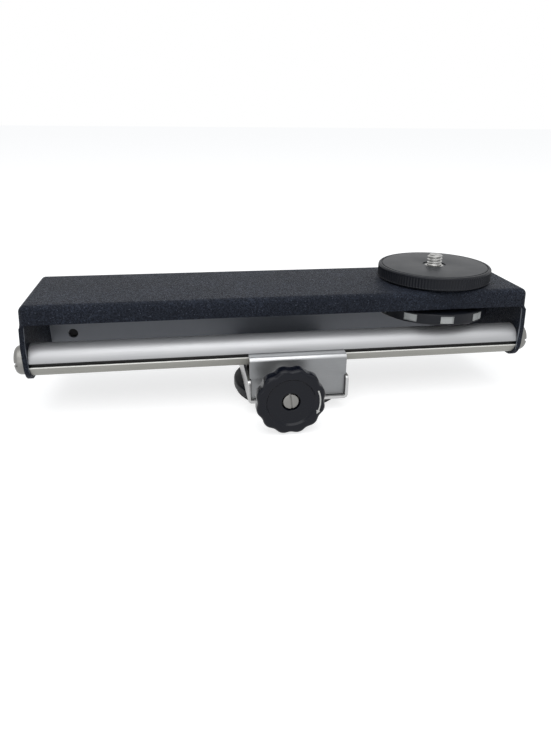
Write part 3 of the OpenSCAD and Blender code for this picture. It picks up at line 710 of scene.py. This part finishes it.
# Painted shade: a dark disc fills the back of the hole.
shade_disc = new_mesh("hole_shade_disc", turned(profile, 48), [finishes["rubber"]], None, hole_at)
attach(shade_disc, body_of["bridge"])
print("shade_disc", len(shade_disc.data.polygons), "faces")

# %% [markdown]
# ## The rod and its end screws
# The rod's section is a circle with a square groove in front and behind, where the jaws reach in.
# The heights of the groove are counted from the rod's axis.

# %% Draw the rod
GROOVE_TOP, GROOVE_LOW, GROOVE_DEPTH = 0.35, -1.15, 1.6


def rod_outline():
    """Section of the rod in Y and Z, with softened mouths to its grooves."""
    top = math.degrees(math.asin(GROOVE_TOP / ROD_R))
    low = math.degrees(math.asin(GROOVE_LOW / ROD_R))
    points, radii = [], []

    def arc(first, last, steps):
        for k in range(steps + 1):
            turn = math.radians(first + (last - first) * k / steps)
            points.append((rod_mid.y + ROD_R * math.cos(turn), rod_mid.z + ROD_R * math.sin(turn)))
            radii.append(0.16 if k in (0, steps) else 0)

    def groove(side, heights):
        for height in heights:
            points.append((rod_mid.y + side * (ROD_R - GROOVE_DEPTH), rod_mid.z + height))
            radii.append(0.1)

    lower_steps = 60
    arc(top, 180 - top, 64)
    groove(-1, (GROOVE_TOP, GROOVE_LOW))
    arc(180 - low, 360 + low, lower_steps)
    radii[-1] = radii[-1 - lower_steps] = 0.4
    groove(1, (GROOVE_LOW, GROOVE_TOP))
    return rounded(points, radii)


make("grooved_rod", "rail_rod", drawn(rod_outline(), rod_low.x, rod_high.x, 0.3), smooth=30)

# %% [markdown]
# An end screw has a large round head with a slot. The slot is cut with a box-shaped drill after
# the head is turned.

# %% Turn the end screws
def block(size):
    """A box round the origin, as a shape."""
    x, y, z = (s / 2 for s in size)
    points = [(a * x, b * y, c * z) for a in (-1, 1) for b in (-1, 1) for c in (-1, 1)]
    return points, [(0, 1, 3, 2), (4, 6, 7, 5), (0, 4, 5, 1), (2, 3, 7, 6), (0, 2, 6, 4), (1, 5, 7, 3)]


END_HEAD_R, END_HEAD_H, END_THREAD_R, END_THREAD_L = 5.8, 4.0, 2.4, 13.8
for side, node, seat in ((-1, "end_screw_left", bridge_low.x), (1, "end_screw_right", bridge_high.x)):
    profile = rounded([(0, END_HEAD_H), (END_HEAD_R, END_HEAD_H), (END_HEAD_R, 0), (END_THREAD_R, 0),
                       (END_THREAD_R, -END_THREAD_L), (0, -END_THREAD_L)], [0, 2.0, 0.3, 0.1, 0.4, 0], 6)
    stand = sideways(seat, rod_mid.y, rod_mid.z, side)
    screw = new_mesh(f"slotted_{node}", turned(profile, 72), [finishes[slot_of[node]]], None, stand)
    slot_at = stand @ Matrix.Translation((0, 0, END_HEAD_H)) @ Matrix.Rotation(math.pi / 2, 4, "Z")
    drill(screw, block((30, 1.4, 3.2)), 0, slot_at)
    soften(screw, 0.12, 2)
    stand_for(screw, node)

# %% [markdown]
# ## The camera platform
# The platform is a turned disc with a straight knurl, which is a row of fine V grooves that a
# wheel presses into the rim. The lathe helper moves each rim point in by the groove's depth.

# %% Turn and knurl the platform
KNURLS, KNURL_DEPTH, PLAIN_EDGE = 120, 0.3, 0.68
RECESS_R, HEAD_RECESS_R, HEAD_RECESS_DEPTH = 22.7, 7.25, 1.5
disc_r = (disc_high.x - disc_low.x) / 2
pad_low, pad_high = place("platform_pad")[:2]
low, high = disc_low.z, disc_high.z
floor = pad_low.z


def knurl(angle, radius, height):
    """Presses V grooves into the rim."""
    if radius < disc_r - KNURL_DEPTH - 0.02 or not low + PLAIN_EDGE < height < high - PLAIN_EDGE:
        return radius, height
    wave = angle * KNURLS / math.tau % 1
    return radius - KNURL_DEPTH * (1 - abs(2 * wave - 1)) ** 0.8, height


rim = disc_r - 0.05
profile = rounded([(HUB_HOLE_R, low), (rim - 0.5, low), (rim, low + 0.5), (rim, low + 0.66),
                   (disc_r, low + 0.9), (disc_r, high - 0.9), (rim, high - 0.66), (rim, high - 0.5),
                   (rim - 0.5, high), (RECESS_R, high), (RECESS_R, floor), (HEAD_RECESS_R, floor),
                   (HEAD_RECESS_R, floor - HEAD_RECESS_DEPTH), (HUB_HOLE_R, floor - HEAD_RECESS_DEPTH)],
                  [0.1, 0.15, 0.1, 0, 0, 0, 0, 0.12, 0.12, 0.08, 0.1, 0.1, 0.1, 0.1], 3)
make("knurled_platform", "platform_disc", turned(profile, KNURLS * 6, knurl),
     at=upright(hub_x, hub_y), smooth=25)

# %% [markdown]
# The pad is a thin disc let into the platform. Its hole is wider at the top than below, which
# leaves the dark ring that is seen round the foot of the camera screw.

# %% Lay the pad in the platform
PAD_R, PAD_HOLE_R, PAD_MOUTH_R = 22.3, 4.1, 4.9
step_z = pad_low.z + 0.15
profile = rounded([(PAD_HOLE_R, pad_low.z), (PAD_R, pad_low.z), (PAD_R, pad_high.z),
                   (PAD_MOUTH_R, pad_high.z), (PAD_MOUTH_R, step_z), (PAD_HOLE_R, step_z)],
                  [0, 0.05, 0.2, 0.1, 0, 0], 4)
make("smooth_pad", "platform_pad", turned(profile, 144), at=upright(hub_x, hub_y))

# %% [markdown]
# ## Threads
# A thread is a groove that winds round a bar. The same lathe makes it: the depth at a point
# depends on its height plus its share of a turn, and fades where the thread runs out.

# %% Cut a thread
def thread(first, last, pitch, depth, limit=0.0):
    """A shape for the lathe: a groove between two heights on points beyond a radius."""
    def cut(angle, radius, height):
        if radius < limit or not first < height < last:
            return radius, height
        wave = abs(2 * ((height / pitch - angle / math.tau) % 1) - 1)
        fade = min(1, (height - first) / (0.5 * pitch), (last - height) / (0.5 * pitch))
        return radius - depth * min(1, max(0, 1.35 * wave - 0.18)) * fade, height
    return cut


def stepped(radius, first, last, step):
    """Profile points of a straight bar, close enough together to carry a thread."""
    count = max(1, round((last - first) / step))
    return [(radius, first + (last - first) * k / count) for k in range(count + 1)]


SHANK_R, COLLAR_R = 3.4, 3.85
stud_low, stud_high = place("camera_stud")[:2]
hub_top, tip = place("platform_hub")[1].z, stud_high.z
collar_z = pad_high.z - 0.35
profile = [(0, stud_low.z), (SHANK_R, stud_low.z), (SHANK_R, hub_top), (COLLAR_R, hub_top),
           (COLLAR_R, collar_z), (3.5, collar_z + 0.1), (2.95, collar_z + 0.1),
           *stepped(CAMERA_THREAD_R, pad_high.z, tip - 0.55, 0.09), (2.85, tip - 0.35), (2.4, tip - 0.14),
           (1.7, tip - 0.03), (0.9, tip), (0.5, tip - 0.35), (0, tip - 0.5)]
cut = thread(pad_high.z + 0.1, tip + 0.4, CAMERA_PITCH, 0.55, limit=2.8)
make("threaded_stud", "camera_stud", turned(profile, 72, cut), at=upright(hub_x, hub_y), smooth=45)

# %% [markdown]
# ## The thumb wheel
# The wheel under the top is black, with ten notches cut through the black to bare metal. Extra
# columns stand at both sides of each notch, so that its walls stay steep.

# %% Turn and notch the thumb wheel
NOTCHES, NOTCH_W, NOTCH_H, NOTCH_DEPTH, WHEEL_TURN = 10, 5.6, 3.0, 0.7, -5
rim_top = wheel_low.z + RIM_T
notch_low = wheel_low.z + (RIM_T - NOTCH_H) / 2
notch_high = notch_low + NOTCH_H
half_notch = NOTCH_W / 2 / wheel_r
first_notch = math.radians(WHEEL_TURN - 90)
WALL = 0.12


def in_notch(angle):
    """How far an angle lies inside a notch, in millimetres along the rim."""
    pitch = math.tau / NOTCHES
    away = (angle - first_notch + pitch / 2) % pitch - pitch / 2
    return (half_notch - abs(away)) * wheel_r


def notch(angle, radius, height):
    """Sinks the rim inside a notch, over the width of a steep wall."""
    inside = min(in_notch(angle), height - notch_low, notch_high - height)
    if radius < wheel_r - 0.2 or inside <= 0:
        return radius, height
    return radius - NOTCH_DEPTH * min(1, inside / WALL), height


wheel_angles = sorted({round(math.tau * k / 192, 6) for k in range(192)} | {
    round((first_notch + math.tau * k / NOTCHES + side * (half_notch - step / wheel_r)) % math.tau, 6)
    for k in range(NOTCHES) for side in (-1, 1) for step in (0, WALL)})
rows = [notch_low, notch_low + WALL, (notch_low + notch_high) / 2, notch_high - WALL, notch_high]
BOSS_R, RIM_W, WEB_RISE = 7, 3.5, 1.4
under, web = wheel_low.z, wheel_low.z + WEB_RISE
profile = rounded([(1.85, under + 2), (3.55, under + 2), (3.55, under), (BOSS_R, under), (BOSS_R, web),
                   (wheel_r - RIM_W, web), (wheel_r - RIM_W, under), (wheel_r, under),
                   *[(wheel_r, z) for z in rows], (wheel_r, rim_top), (BOSS_R, rim_top),
                   (BOSS_R, wheel_high.z), (3.45, wheel_high.z), (3.45, under + 2.4), (1.85, under + 2.4)],
                  [0, 0, 0.1, 0.2, 0.3, 0.3, 0.2, 0.45, 0, 0, 0, 0, 0, 0.45, 0.3, 0.2, 0, 0, 0], 3)


def notch_floor(centre):
    """Bare metal inside a notch, black elsewhere."""
    radius = math.hypot(centre.x, centre.y)
    inside = min(in_notch(math.atan2(centre.y, centre.x)), centre.z - notch_low, notch_high - centre.z)
    return int(inside > 0 and wheel_r - 0.75 < radius < wheel_r - 0.05)


make("notched_wheel", "thumb_wheel", turned(profile, wheel_angles, notch), pick=notch_floor,
     at=upright(hub_x, hub_y), looks=[finishes["wheel_black"], bare_metal], smooth=40)

# %% [markdown]
# The platform turns on a hub, a flanged bush through the top plate, and a ring nut holds the hub
# from below. Two pin holes in the nut take the spanner. Both are out of sight, so they keep the
# plainest form that works.

# %% Turn the hub and its ring nut
HUB_R, HUB_BORE_R, HUB_HEAD_R, HUB_HEAD_T = 5.5, 3.45, 7.2, 1.4
HUB_NUT_R, PIN_HOLE_R, PIN_HOLE_AT = 8.5, 0.7, 7
hub_low, hub_high = place("platform_hub")[:2]
ring_low, ring_high = place("hub_ring")[:2]
under_head = hub_high.z - HUB_HEAD_T
profile = rounded([(HUB_BORE_R, hub_low.z), (HUB_R, hub_low.z), (HUB_R, under_head), (HUB_HEAD_R, under_head),
                   (HUB_HEAD_R, hub_high.z), (HUB_BORE_R, hub_high.z)], [0.15, 0.2, 0.1, 0.15, 0.15, 0.15], 3)
make("hub_bush", "platform_hub", turned(profile), at=upright(hub_x, hub_y))
profile = rounded([(HUB_HOLE_R, ring_low.z), (HUB_NUT_R - 0.5, ring_low.z), (HUB_NUT_R, ring_low.z + 0.5),
                   (HUB_NUT_R, ring_high.z), (HUB_HOLE_R, ring_high.z)], [0.1] * 5, 3)
hub_nut = new_mesh("pinned_hub_nut", turned(profile), [finishes["zinc_steel"]], None, upright(hub_x, hub_y))
for side in (-1, 1):
    drill(hub_nut, drill_bit(PIN_HOLE_R, 3.2), 0, upright(hub_x + side * PIN_HOLE_AT, hub_y, ring_low.z))
stand_for(hub_nut, "hub_ring")

# %% [markdown]
# A slotted screw holds the thumb wheel on the stud from below, and a thin washer lets the wheel turn
# against the ring nut. A wide one lies between platform and top plate. Both washers are flat rings,
# so one profile serves them, and the clamp's tube and washer later on.

# %% Turn the washers and the wheel's screw
screw_low, screw_high = place("wheel_screw")[:2]
SCREW_HEAD_R, SCREW_HEAD_H, SCREW_R = 3.2, 2, 1.5


def ring(inner, outer, low, high, edge):
    """Profile of a flat ring with softened edges."""
    return rounded([(inner, low), (outer, low), (outer, high), (inner, high)], [edge] * 4, 3)


for name, node, inner, outer, edge in (("fibre_ring", "friction_washer", 5.9, 21, 0.05),
                                       ("thrust_ring", "wheel_washer", 3.75, 6.7, 0.03)):
    low, high = place(node)[:2]
    make(name, node, turned(ring(inner, outer, low.z, high.z, edge)), at=upright(hub_x, hub_y))
neck_z = screw_low.z + SCREW_HEAD_H
profile = rounded([(0, screw_low.z), (SCREW_HEAD_R, screw_low.z), (SCREW_HEAD_R, neck_z), (SCREW_R, neck_z),
                   (SCREW_R, screw_high.z), (0, screw_high.z)], [0, 0.5, 0.1, 0.1, 0.3, 0], 4)
wheel_bolt = new_mesh("slotted_wheel_screw", turned(profile, 60), [finishes["nickel_screws"]], None,
                      upright(hub_x, hub_y))
drill(wheel_bolt, block((20, 1, 1.6)), 0, upright(hub_x, hub_y, screw_low.z))
stand_for(wheel_bolt, "wheel_screw")

# %% [markdown]
# ## The carriage
# A shallow channel of folded aluminium stands on a turned disc with a rubber pad. Its two cheeks are
# the same strip of sheet, folded up with an easy bend. Their upper corners are rounded off by
# letting each station of the strip reach less far to both sides.

# %% Fold the channel
CHANNEL_T, CHANNEL_BEND, CHEEK_CORNER, SHEET_EDGE = 1.2, 1.8, 1.5, 0.18
half_w, deep = channel_high.x, channel_high.y


def cheek_end(z):
    """How far the cheek reaches at a height, with its upper corners rounded."""
    down = max(0, z - (channel_high.z - CHEEK_CORNER))
    return deep - CHEEK_CORNER + math.sqrt(CHEEK_CORNER ** 2 - down ** 2)


heights = [channel_high.z - CHEEK_CORNER * (1 - math.sin(math.pi / 2 * k / 6)) for k in range(7)]
left_up = [(-half_w, z, -1, 0, -cheek_end(z), cheek_end(z)) for z in reversed(heights)]
right_up = [(half_w, z, 1, 0, -cheek_end(z), cheek_end(z)) for z in heights]
corner_z = channel_low.z + CHANNEL_BEND
stations = (left_up + bend((-half_w + CHANNEL_BEND, corner_z), CHANNEL_BEND, 180, 270, -deep, deep)
            + bend((half_w - CHANNEL_BEND, corner_z), CHANNEL_BEND, 270, 360, -deep, deep) + right_up)
channel = new_mesh("folded_channel", folded(stations, CHANNEL_T, along_y=True),
                   [finishes["satin_aluminium"]])
soften(channel, SHEET_EDGE)
drill(channel, drill_bit(BUSH_HOLE_R, 6), 0, upright(0, 0, channel_low.z))
stand_for(channel, "base_channel")

# %% [markdown]
# The disc and its pad are turned. Ring grooves in the rubber grip a tripod's plate. A bush goes
# through disc and channel, with its flange in the pad's hole and its upper end turned over, and its
# bore carries the tripod thread. The helper that cut the camera screw cuts that bore as well.

# %% Turn the base disc, its pad and the bush
BUSH_R, FLANGE_T, COLLAR_T, TURNED_OVER_R = 5.5, 1.4, 0.8, 6.5
PAD_HOLE, PAD_GROOVES, GROOVE_SPACING, FIRST_GROOVE = 8.2, 6, 2, 10.4
base_low, base_high = place("base_disc")[:2]
base_r = base_high.x
profile = rounded([(BUSH_HOLE_R, base_low.z), (base_r - 0.5, base_low.z), (base_r, base_low.z + 0.5),
                   (base_r, base_high.z - 0.5), (base_r - 0.5, base_high.z), (BUSH_HOLE_R, base_high.z)],
                  [0.1, 0.2, 0.2, 0.2, 0.2, 0.1], 3)
make("turned_base", "base_disc", turned(profile, 144))
pad_r, pad_t = place("base_pad")[1].x, place("base_pad")[1].z
grooves = [(FIRST_GROOVE + GROOVE_SPACING * k + out, depth) for k in range(PAD_GROOVES)
           for out, depth in ((0, 0), (0.3, 0.35), (0.9, 0.35), (1.2, 0))]
profile = [(PAD_HOLE, 0), *grooves, (pad_r - 0.2, 0), (pad_r, 0.2), (pad_r, pad_t), (PAD_HOLE, pad_t)]
make("grooved_pad", "base_pad", turned(profile, 144))
bush_high = place("tripod_bush")[1]
flange_r, top = bush_high.x, bush_high.z
profile = [*stepped(CAMERA_THREAD_R, 0.15, top - 0.15, 0.1), (3.3, top), (TURNED_OVER_R, top),
           (TURNED_OVER_R, top - COLLAR_T), (BUSH_R, top - COLLAR_T), (BUSH_R, FLANGE_T),
           (flange_r, FLANGE_T), (flange_r, 0.15), (flange_r - 0.15, 0), (3.4, 0)]
cut = thread(0.1, top - 0.1, CAMERA_PITCH, 0.5)


def bore_thread(angle, radius, height):
    """Cuts the thread into the wall of the bore and leaves the outside plain."""
    return cut(angle, radius, height) if radius < 3.25 else (radius, height)


make("threaded_bush", "tripod_bush", turned(profile, 72, bore_thread), smooth=45)

# %% [markdown]
# ## The jaws
# Both jaws are strips of folded sheet. Each has a lip that reaches into a groove of the rod, and the
# clamp screw draws the two together until they grip it. The front jaw is folded once, and its sides
# step in where it passes between the channel's cheeks.

# %% Fold the front jaw
JAW_T, JAW_BEND, LIP_STEPS = 1.2, 1.8, 10
front_low, front_high, front_mid = place("front_jaw")
wide, narrow = front_high.x, front_high.x - 0.5
shoulder_z = channel_high.z + 0.4
turn_at = (front_low.y + JAW_BEND, front_high.z - JAW_BEND)
stations = [(front_high.y, front_high.z, 0, 1, -wide, wide)]
stations += bend(turn_at, JAW_BEND, 90, 180, -wide, wide, LIP_STEPS)
stations += [(front_low.y, shoulder_z + 0.02, -1, 0, -wide, wide),
             (front_low.y, shoulder_z, -1, 0, -narrow, narrow),
             (front_low.y, front_low.z, -1, 0, -narrow, narrow)]
jaw = new_mesh("front_jaw_plate", folded(stations, JAW_T), [finishes["jaw_aluminium"]])
soften(jaw, SHEET_EDGE)
drill(jaw, drill_bit(CLAMP_HOLE_R, 8), 0, forward(knob_mid.x, front_mid.y, knob_mid.z))
stand_for(jaw, "front_jaw")

# %% [markdown]
# The rear jaw mirrors the front one and has a foot as well, which is riveted to the channel. The
# foot bends the other way, so the skin that is outside at the lip lies inside at the foot's bend.

# %% Fold the rear jaw
BUSH_ROOM_R = 7
rear_low, rear_high = place("rear_jaw")[:2]
rear_w = rear_high.x
plate_y = front_low.y + 2 * (rod_mid.y - front_low.y)
inner_r = JAW_BEND - JAW_T
stations = [(rear_low.y, rear_high.z, 0, 1, -rear_w, rear_w)]
stations += bend((plate_y - JAW_BEND, rear_high.z - JAW_BEND), JAW_BEND, 90, 0, -rear_w, rear_w, LIP_STEPS)
stations += bend((plate_y + inner_r, rear_low.z + JAW_BEND), inner_r, 180, 270, -rear_w, rear_w, inward=True)
stations += [(rear_high.y, rear_low.z + JAW_T, 0, 1, -rear_w, rear_w)]
rear = new_mesh("rear_jaw_bracket", folded(stations, JAW_T), [finishes["satin_aluminium"]])
soften(rear, SHEET_EDGE)
drill(rear, drill_bit(CLAMP_HOLE_R, 12), 0, forward(knob_mid.x, plate_y, knob_mid.z))
drill(rear, drill_bit(BUSH_ROOM_R, 4), 0, upright(0, 0, rear_low.z))
stand_for(rear, "rear_jaw")

# %% [markdown]
# Two domed rivets hold the rear jaw's foot on the channel. Behind the jaw, the clamp screw runs in
# a nut. A hexagon is a turned bar whose radius is capped by six flats, which keeps the chamfers
# that the lathe left on its corners.

# %% Turn the rivets and the nut
RIVET_R, RIVET_HEAD_R, RIVET_HEAD_H = 1.2, 2.2, 1.2
for node in ("jaw_rivet_left", "jaw_rivet_right"):
    low, high, mid = place(node)
    head = high.z - RIVET_HEAD_H
    profile = rounded([(0, low.z), (RIVET_R, low.z), (RIVET_R, head), (RIVET_HEAD_R, head),
                       (RIVET_HEAD_R, high.z), (0, high.z)], [0, 0.1, 0, 0.15, 0.95, 0], 6)
    make(f"domed_{node}", node, turned(profile, 48), at=upright(mid.x, mid.y))

nut_low, nut_high, nut_mid = place("clamp_nut")
NUT_FLATS, NUT_T = 8.0, nut_high.y - nut_low.y


def hexagon(angle, radius, height):
    """Flattens a turned bar to six sides, and keeps its turned chamfers."""
    sector = (angle + math.pi / 6) % (math.pi / 3) - math.pi / 6
    return min(radius, NUT_FLATS / 2 / math.cos(sector)), height


corner_r = NUT_FLATS / 2 / math.cos(math.pi / 6)
profile = [(2.5, 0.15), (2.65, 0), (corner_r - 0.5, 0), (corner_r - 0.2, 0.12), (corner_r, 0.35),
           (corner_r, NUT_T - 0.35), (corner_r - 0.2, NUT_T - 0.12), (corner_r - 0.5, NUT_T), (2.65, NUT_T),
           (2.5, NUT_T - 0.15)]
make("hexagon_nut", "clamp_nut", turned(profile, 96, hexagon),
     at=forward(nut_mid.x, nut_high.y, nut_mid.z), smooth=20)

# %% [markdown]
# The spring between the jaws is one wire. A round section walks along a helix, turned at each step
# to stand square to the wire.

# %% Wind the spring
def wound(radius, wire, first, last, coils, steps=28, sides=10):
    """Points and faces of a wire wound about Z, with straight ends."""
    rings = []
    count = coils * steps
    rise = (last - first - 2 * wire) / count
    for k in range(-1, count + 2):
        on = min(max(k, 0), count)
        a = math.tau * on / steps
        z = first if k < 0 else last if k > count else first + wire + on * rise
        out = Vector((math.cos(a), math.sin(a), 0))
        along_wire = Vector((0, 0, 1)) if k in (-1, count + 1) else Vector(
            (-math.sin(a) * radius, math.cos(a) * radius, rise * steps / math.tau)).normalized()
        side = along_wire.cross(out).normalized()
        up = side.cross(along_wire)
        middle = Vector((radius * math.cos(a), radius * math.sin(a), z))
        rings.append([middle + (up * math.cos(t) + side * math.sin(t)) * wire / 2
                      for t in (math.tau * s / sides for s in range(sides))])
    points = [p for one in rings for p in one]
    faces = [(r + s, r + (s + 1) % sides, r + sides + (s + 1) % sides, r + sides + s)
             for r in range(0, len(points) - sides, sides) for s in range(sides)]
    return points, faces + [tuple(range(sides)), tuple(range(len(points) - sides, len(points)))]


spring_low, spring_high, spring_mid = place("jaw_spring")
WIRE, COILS = 0.7, 9
coil_r = (spring_high.x - spring_low.x) / 2 - WIRE / 2
make("wound_spring", "jaw_spring", wound(coil_r, WIRE, 0, spring_high.y - spring_low.y, COILS),
     at=forward(spring_mid.x, spring_high.y, spring_mid.z), smooth=60)

# %% [markdown]
# ## The clamp knob
# The knob is moulded plastic with a wavy rim for the fingers, a shallow dish and a recess for the
# screw. The waves fade out towards the dish and the neck.

# %% Mould the knob
WAVES, WAVE_DEPTH, KNOB_R = 12, 0.7, 13.55
NECK_R, DISH_R, SCREW_RECESS_R, BORE_R = 7.5, 9.7, 3.6, 2.5
KNOB_L = knob_high.y - knob_low.y
neck, dish, recess = KNOB_L - 6, KNOB_L - 0.8, KNOB_L - 3.2
still_r, full_r = 9.9, KNOB_R - 1.4
wave_turn = math.radians(15)


def waves(angle, radius, height):
    """Draws the rim in and out, fully at the edge and not at all on the dish or neck."""
    share = min(1, max(0, (radius - still_r) / (full_r - still_r)))
    share *= 1 if height > neck - 0.01 else 0
    dip = (0.5 - 0.5 * math.cos(WAVES * (angle - wave_turn))) ** 1.2
    return radius - WAVE_DEPTH * dip * share * share * (3 - 2 * share), height


profile = rounded([(BORE_R, 0), (NECK_R, 0), (NECK_R, neck), (KNOB_R, neck), (KNOB_R, KNOB_L),
                   (DISH_R, KNOB_L), (DISH_R - 0.7, dish), (SCREW_RECESS_R, dish),
                   (SCREW_RECESS_R, recess), (BORE_R, recess)],
                  [0.1, 0.3, 0.8, 1.3, 1.4, 0.2, 0.25, 0.2, 0.1, 0.1], 6)
knob_at = forward(knob_mid.x, knob_high.y, knob_mid.z)
make("wavy_knob", "clamp_knob", turned(profile, WAVES * 20, waves), at=knob_at, smooth=50)

# %% [markdown]
# A plain curved arrow on the rim shows which way the knob tightens. It is a thin layer of paint,
# so it stands a few hundredths of a millimetre proud of the face.

# %% Paint an arrow on the knob
def curved_arrow(radius, width, start, stop, head, lift, steps=24):
    """Points and faces of a flat arrow along an arc, from start to stop in degrees."""
    def on_arc(out, degrees):
        turn = math.radians(degrees)
        return (radius + out) * math.cos(turn), (radius + out) * math.sin(turn), lift

    points = [on_arc(side * width / 2, start + (stop - start) * k / steps)
              for k in range(steps + 1) for side in (-1, 1)]
    faces = [(k, k + 1, k + 3, k + 2) for k in range(0, 2 * steps, 2)]
    base = len(points)
    points += [on_arc(-width * 1.5, stop), on_arc(width * 1.5, stop),
               on_arc(0, stop + math.copysign(head, stop - start))]
    return points, faces + [(base, base + 1, base + 2)]


PAINT_T, PAINT_GAP = 0.03, 0.005
shape = curved_arrow(11.15, 0.55, start=24, stop=-20, head=8, lift=KNOB_L + PAINT_GAP)
arrow = new_mesh("turning_arrow", shape, [mark_white], None, knob_at)
settle(arrow, "SOLIDIFY", thickness=PAINT_T * MM, offset=1)
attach(arrow, "clamp")
print("arrow", len(arrow.data.polygons), "faces")

# %% [markdown]
# The clamp screw runs from the knob's recess to the nut behind the rear jaw. Its slot stands nearly
# upright, as a hand left it. The sleeve keeps the knob clear of the channel, and the washer spreads
# the screw's pull on the soft aluminium.

# %% Turn the clamp screw, its sleeve and its washer
CLAMP_R, CLAMP_PITCH, CLAMP_THREAD_L, CLAMP_HEAD_R, CLAMP_HEAD_H = 2.45, 0.8, 27, 3.1, 2
SLOT_W, SLOT_DEEP, SLOT_TURN = 0.7, 1.8, 98
shaft_low, shaft_high, shaft_mid = place("clamp_screw")
SHAFT_L = shaft_high.y - shaft_low.y
seat = SHAFT_L - CLAMP_HEAD_H
profile = [(0, 0), (2.0, 0), *stepped(CLAMP_R, 0.45, CLAMP_THREAD_L, 0.1), (CLAMP_R, seat),
           (CLAMP_HEAD_R, seat), (CLAMP_HEAD_R, SHAFT_L - 0.35), (CLAMP_HEAD_R - 0.1, SHAFT_L - 0.1),
           (CLAMP_HEAD_R - 0.3, SHAFT_L), (0, SHAFT_L)]
cut = thread(0.3, CLAMP_THREAD_L - 0.5, CLAMP_PITCH, 0.32, limit=2.4)
shaft = new_mesh("slotted_clamp_screw", turned(profile, 48, cut), [finishes["nickel_screws"]], None,
                 forward(shaft_mid.x, shaft_high.y, shaft_mid.z))
slot_at = forward(shaft_mid.x, shaft_low.y, shaft_mid.z) @ Matrix.Rotation(math.radians(SLOT_TURN), 4, "Z")
drill(shaft, block((20, SLOT_W, SLOT_DEEP)), 0, slot_at)
stand_for(shaft, "clamp_screw", 45)

for name, node, edge in (("spacer_tube", "clamp_sleeve", 0.25), ("steel_washer", "clamp_washer", 0.12)):
    low, high, mid = place(node)
    make(name, node, turned(ring(CLAMP_HOLE_R, high.x - mid.x, 0, high.y - low.y, edge), 72),
         at=forward(mid.x, high.y, mid.z))

# %% [markdown]
# ## The stage
# The rail stands on a pale floor in soft light from a large panel overhead and a smaller one in
# front. Camera, glossy and transmitted rays see white all round, while the light that the world
# gives stays plain.

# %% Lay the floor
FLOOR_REACH, FLOOR_GREY, FLOOR_GLOW = 4, 0.5, 0.72
floor_mesh = bpy.data.meshes.new("floor")
corners = [(FLOOR_REACH * x, FLOOR_REACH * y, 0) for x, y in ((-1, -1), (1, -1), (1, 1), (-1, 1))]
floor_mesh.from_pydata(corners, [], [(0, 1, 2, 3)])
floor_obj = bpy.data.objects.new("floor", floor_mesh)
floor_obj.location.z = -0.1 * MM
bpy.context.scene.collection.objects.link(floor_obj)
paper = bpy.data.materials.new("paper")
paper.use_nodes = True
nodes, links = paper.node_tree.nodes, paper.node_tree.links
shader = nodes["Principled BSDF"]
shader.inputs["Base Color"].default_value = (FLOOR_GREY, FLOOR_GREY, FLOOR_GREY, 1)
shader.inputs["Roughness"].default_value = 1
shader.inputs["Specular IOR Level"].default_value = 0
shader.inputs["Emission Color"].default_value = (1, 1, 1, 1)


def seen_rays(nodes, links):
    """1 for rays that show the background, 0 for rays that light the object."""
    rays = nodes.new("ShaderNodeLightPath")
    total = rays.outputs["Is Camera Ray"]
    for name in ("Is Glossy Ray", "Is Transmission Ray"):
        higher = nodes.new("ShaderNodeMath")
        higher.operation = "MAXIMUM"
        links.new(total, higher.inputs[0])
        links.new(rays.outputs[name], higher.inputs[1])
        total = higher.outputs[0]
    return total


glow = nodes.new("ShaderNodeMath")
glow.operation = "MULTIPLY"
glow.inputs[1].default_value = FLOOR_GLOW
links.new(seen_rays(nodes, links), glow.inputs[0])
links.new(glow.outputs[0], shader.inputs["Emission Strength"])
floor_mesh.materials.append(paper)
print("floor laid")

# %% [markdown]
# The world gives an even, slightly cool light of half strength. The overhead panel is wide, so its
# highlights and shadows are soft, and it stands a little in front, so that light reaches the rod.

# %% Hang the world and the lamps
WORLD_STRENGTH = 0.5
world = bpy.data.worlds.new("studio")
bpy.context.scene.world = world
world.use_nodes = True
nodes, links = world.node_tree.nodes, world.node_tree.links
plain = nodes["Background"]
plain.inputs["Color"].default_value = (0.93, 0.96, 1.0, 1)
plain.inputs["Strength"].default_value = WORLD_STRENGTH
white = nodes.new("ShaderNodeBackground")
white.inputs["Color"].default_value = (1, 1, 1, 1)
mix = nodes.new("ShaderNodeMixShader")
links.new(seen_rays(nodes, links), mix.inputs[0])
links.new(plain.outputs[0], mix.inputs[1])
links.new(white.outputs[0], mix.inputs[2])
links.new(mix.outputs[0], nodes["World Output"].inputs["Surface"])


def lamp(name, spot, target, size, watts):
    """A square panel of light at a place in metres that faces a target."""
    data = bpy.data.lights.new(name, "AREA")
    data.energy, data.size = watts, size
    obj = bpy.data.objects.new(name, data)
    obj.location = spot
    obj.rotation_euler = (Vector(target) - Vector(spot)).to_track_quat("-Z", "Y").to_euler()
    bpy.context.scene.collection.objects.link(obj)


lamp("overhead", (-0.08, -0.45, 1.0), (0, 0, 0), 1.1, 7.0)
lamp("front", (-0.30, -1.0, 0.25), (0, 0, 0.02), 0.5, 1.0)
bpy.context.scene.view_settings.view_transform = "Standard"
print("stage set")

# %% [markdown]
# Each piece took its size from its solid, so the box of the finished pieces should agree with the
# box of the solids to about a tenth of a millimetre.

# %% Finish
print("finished")
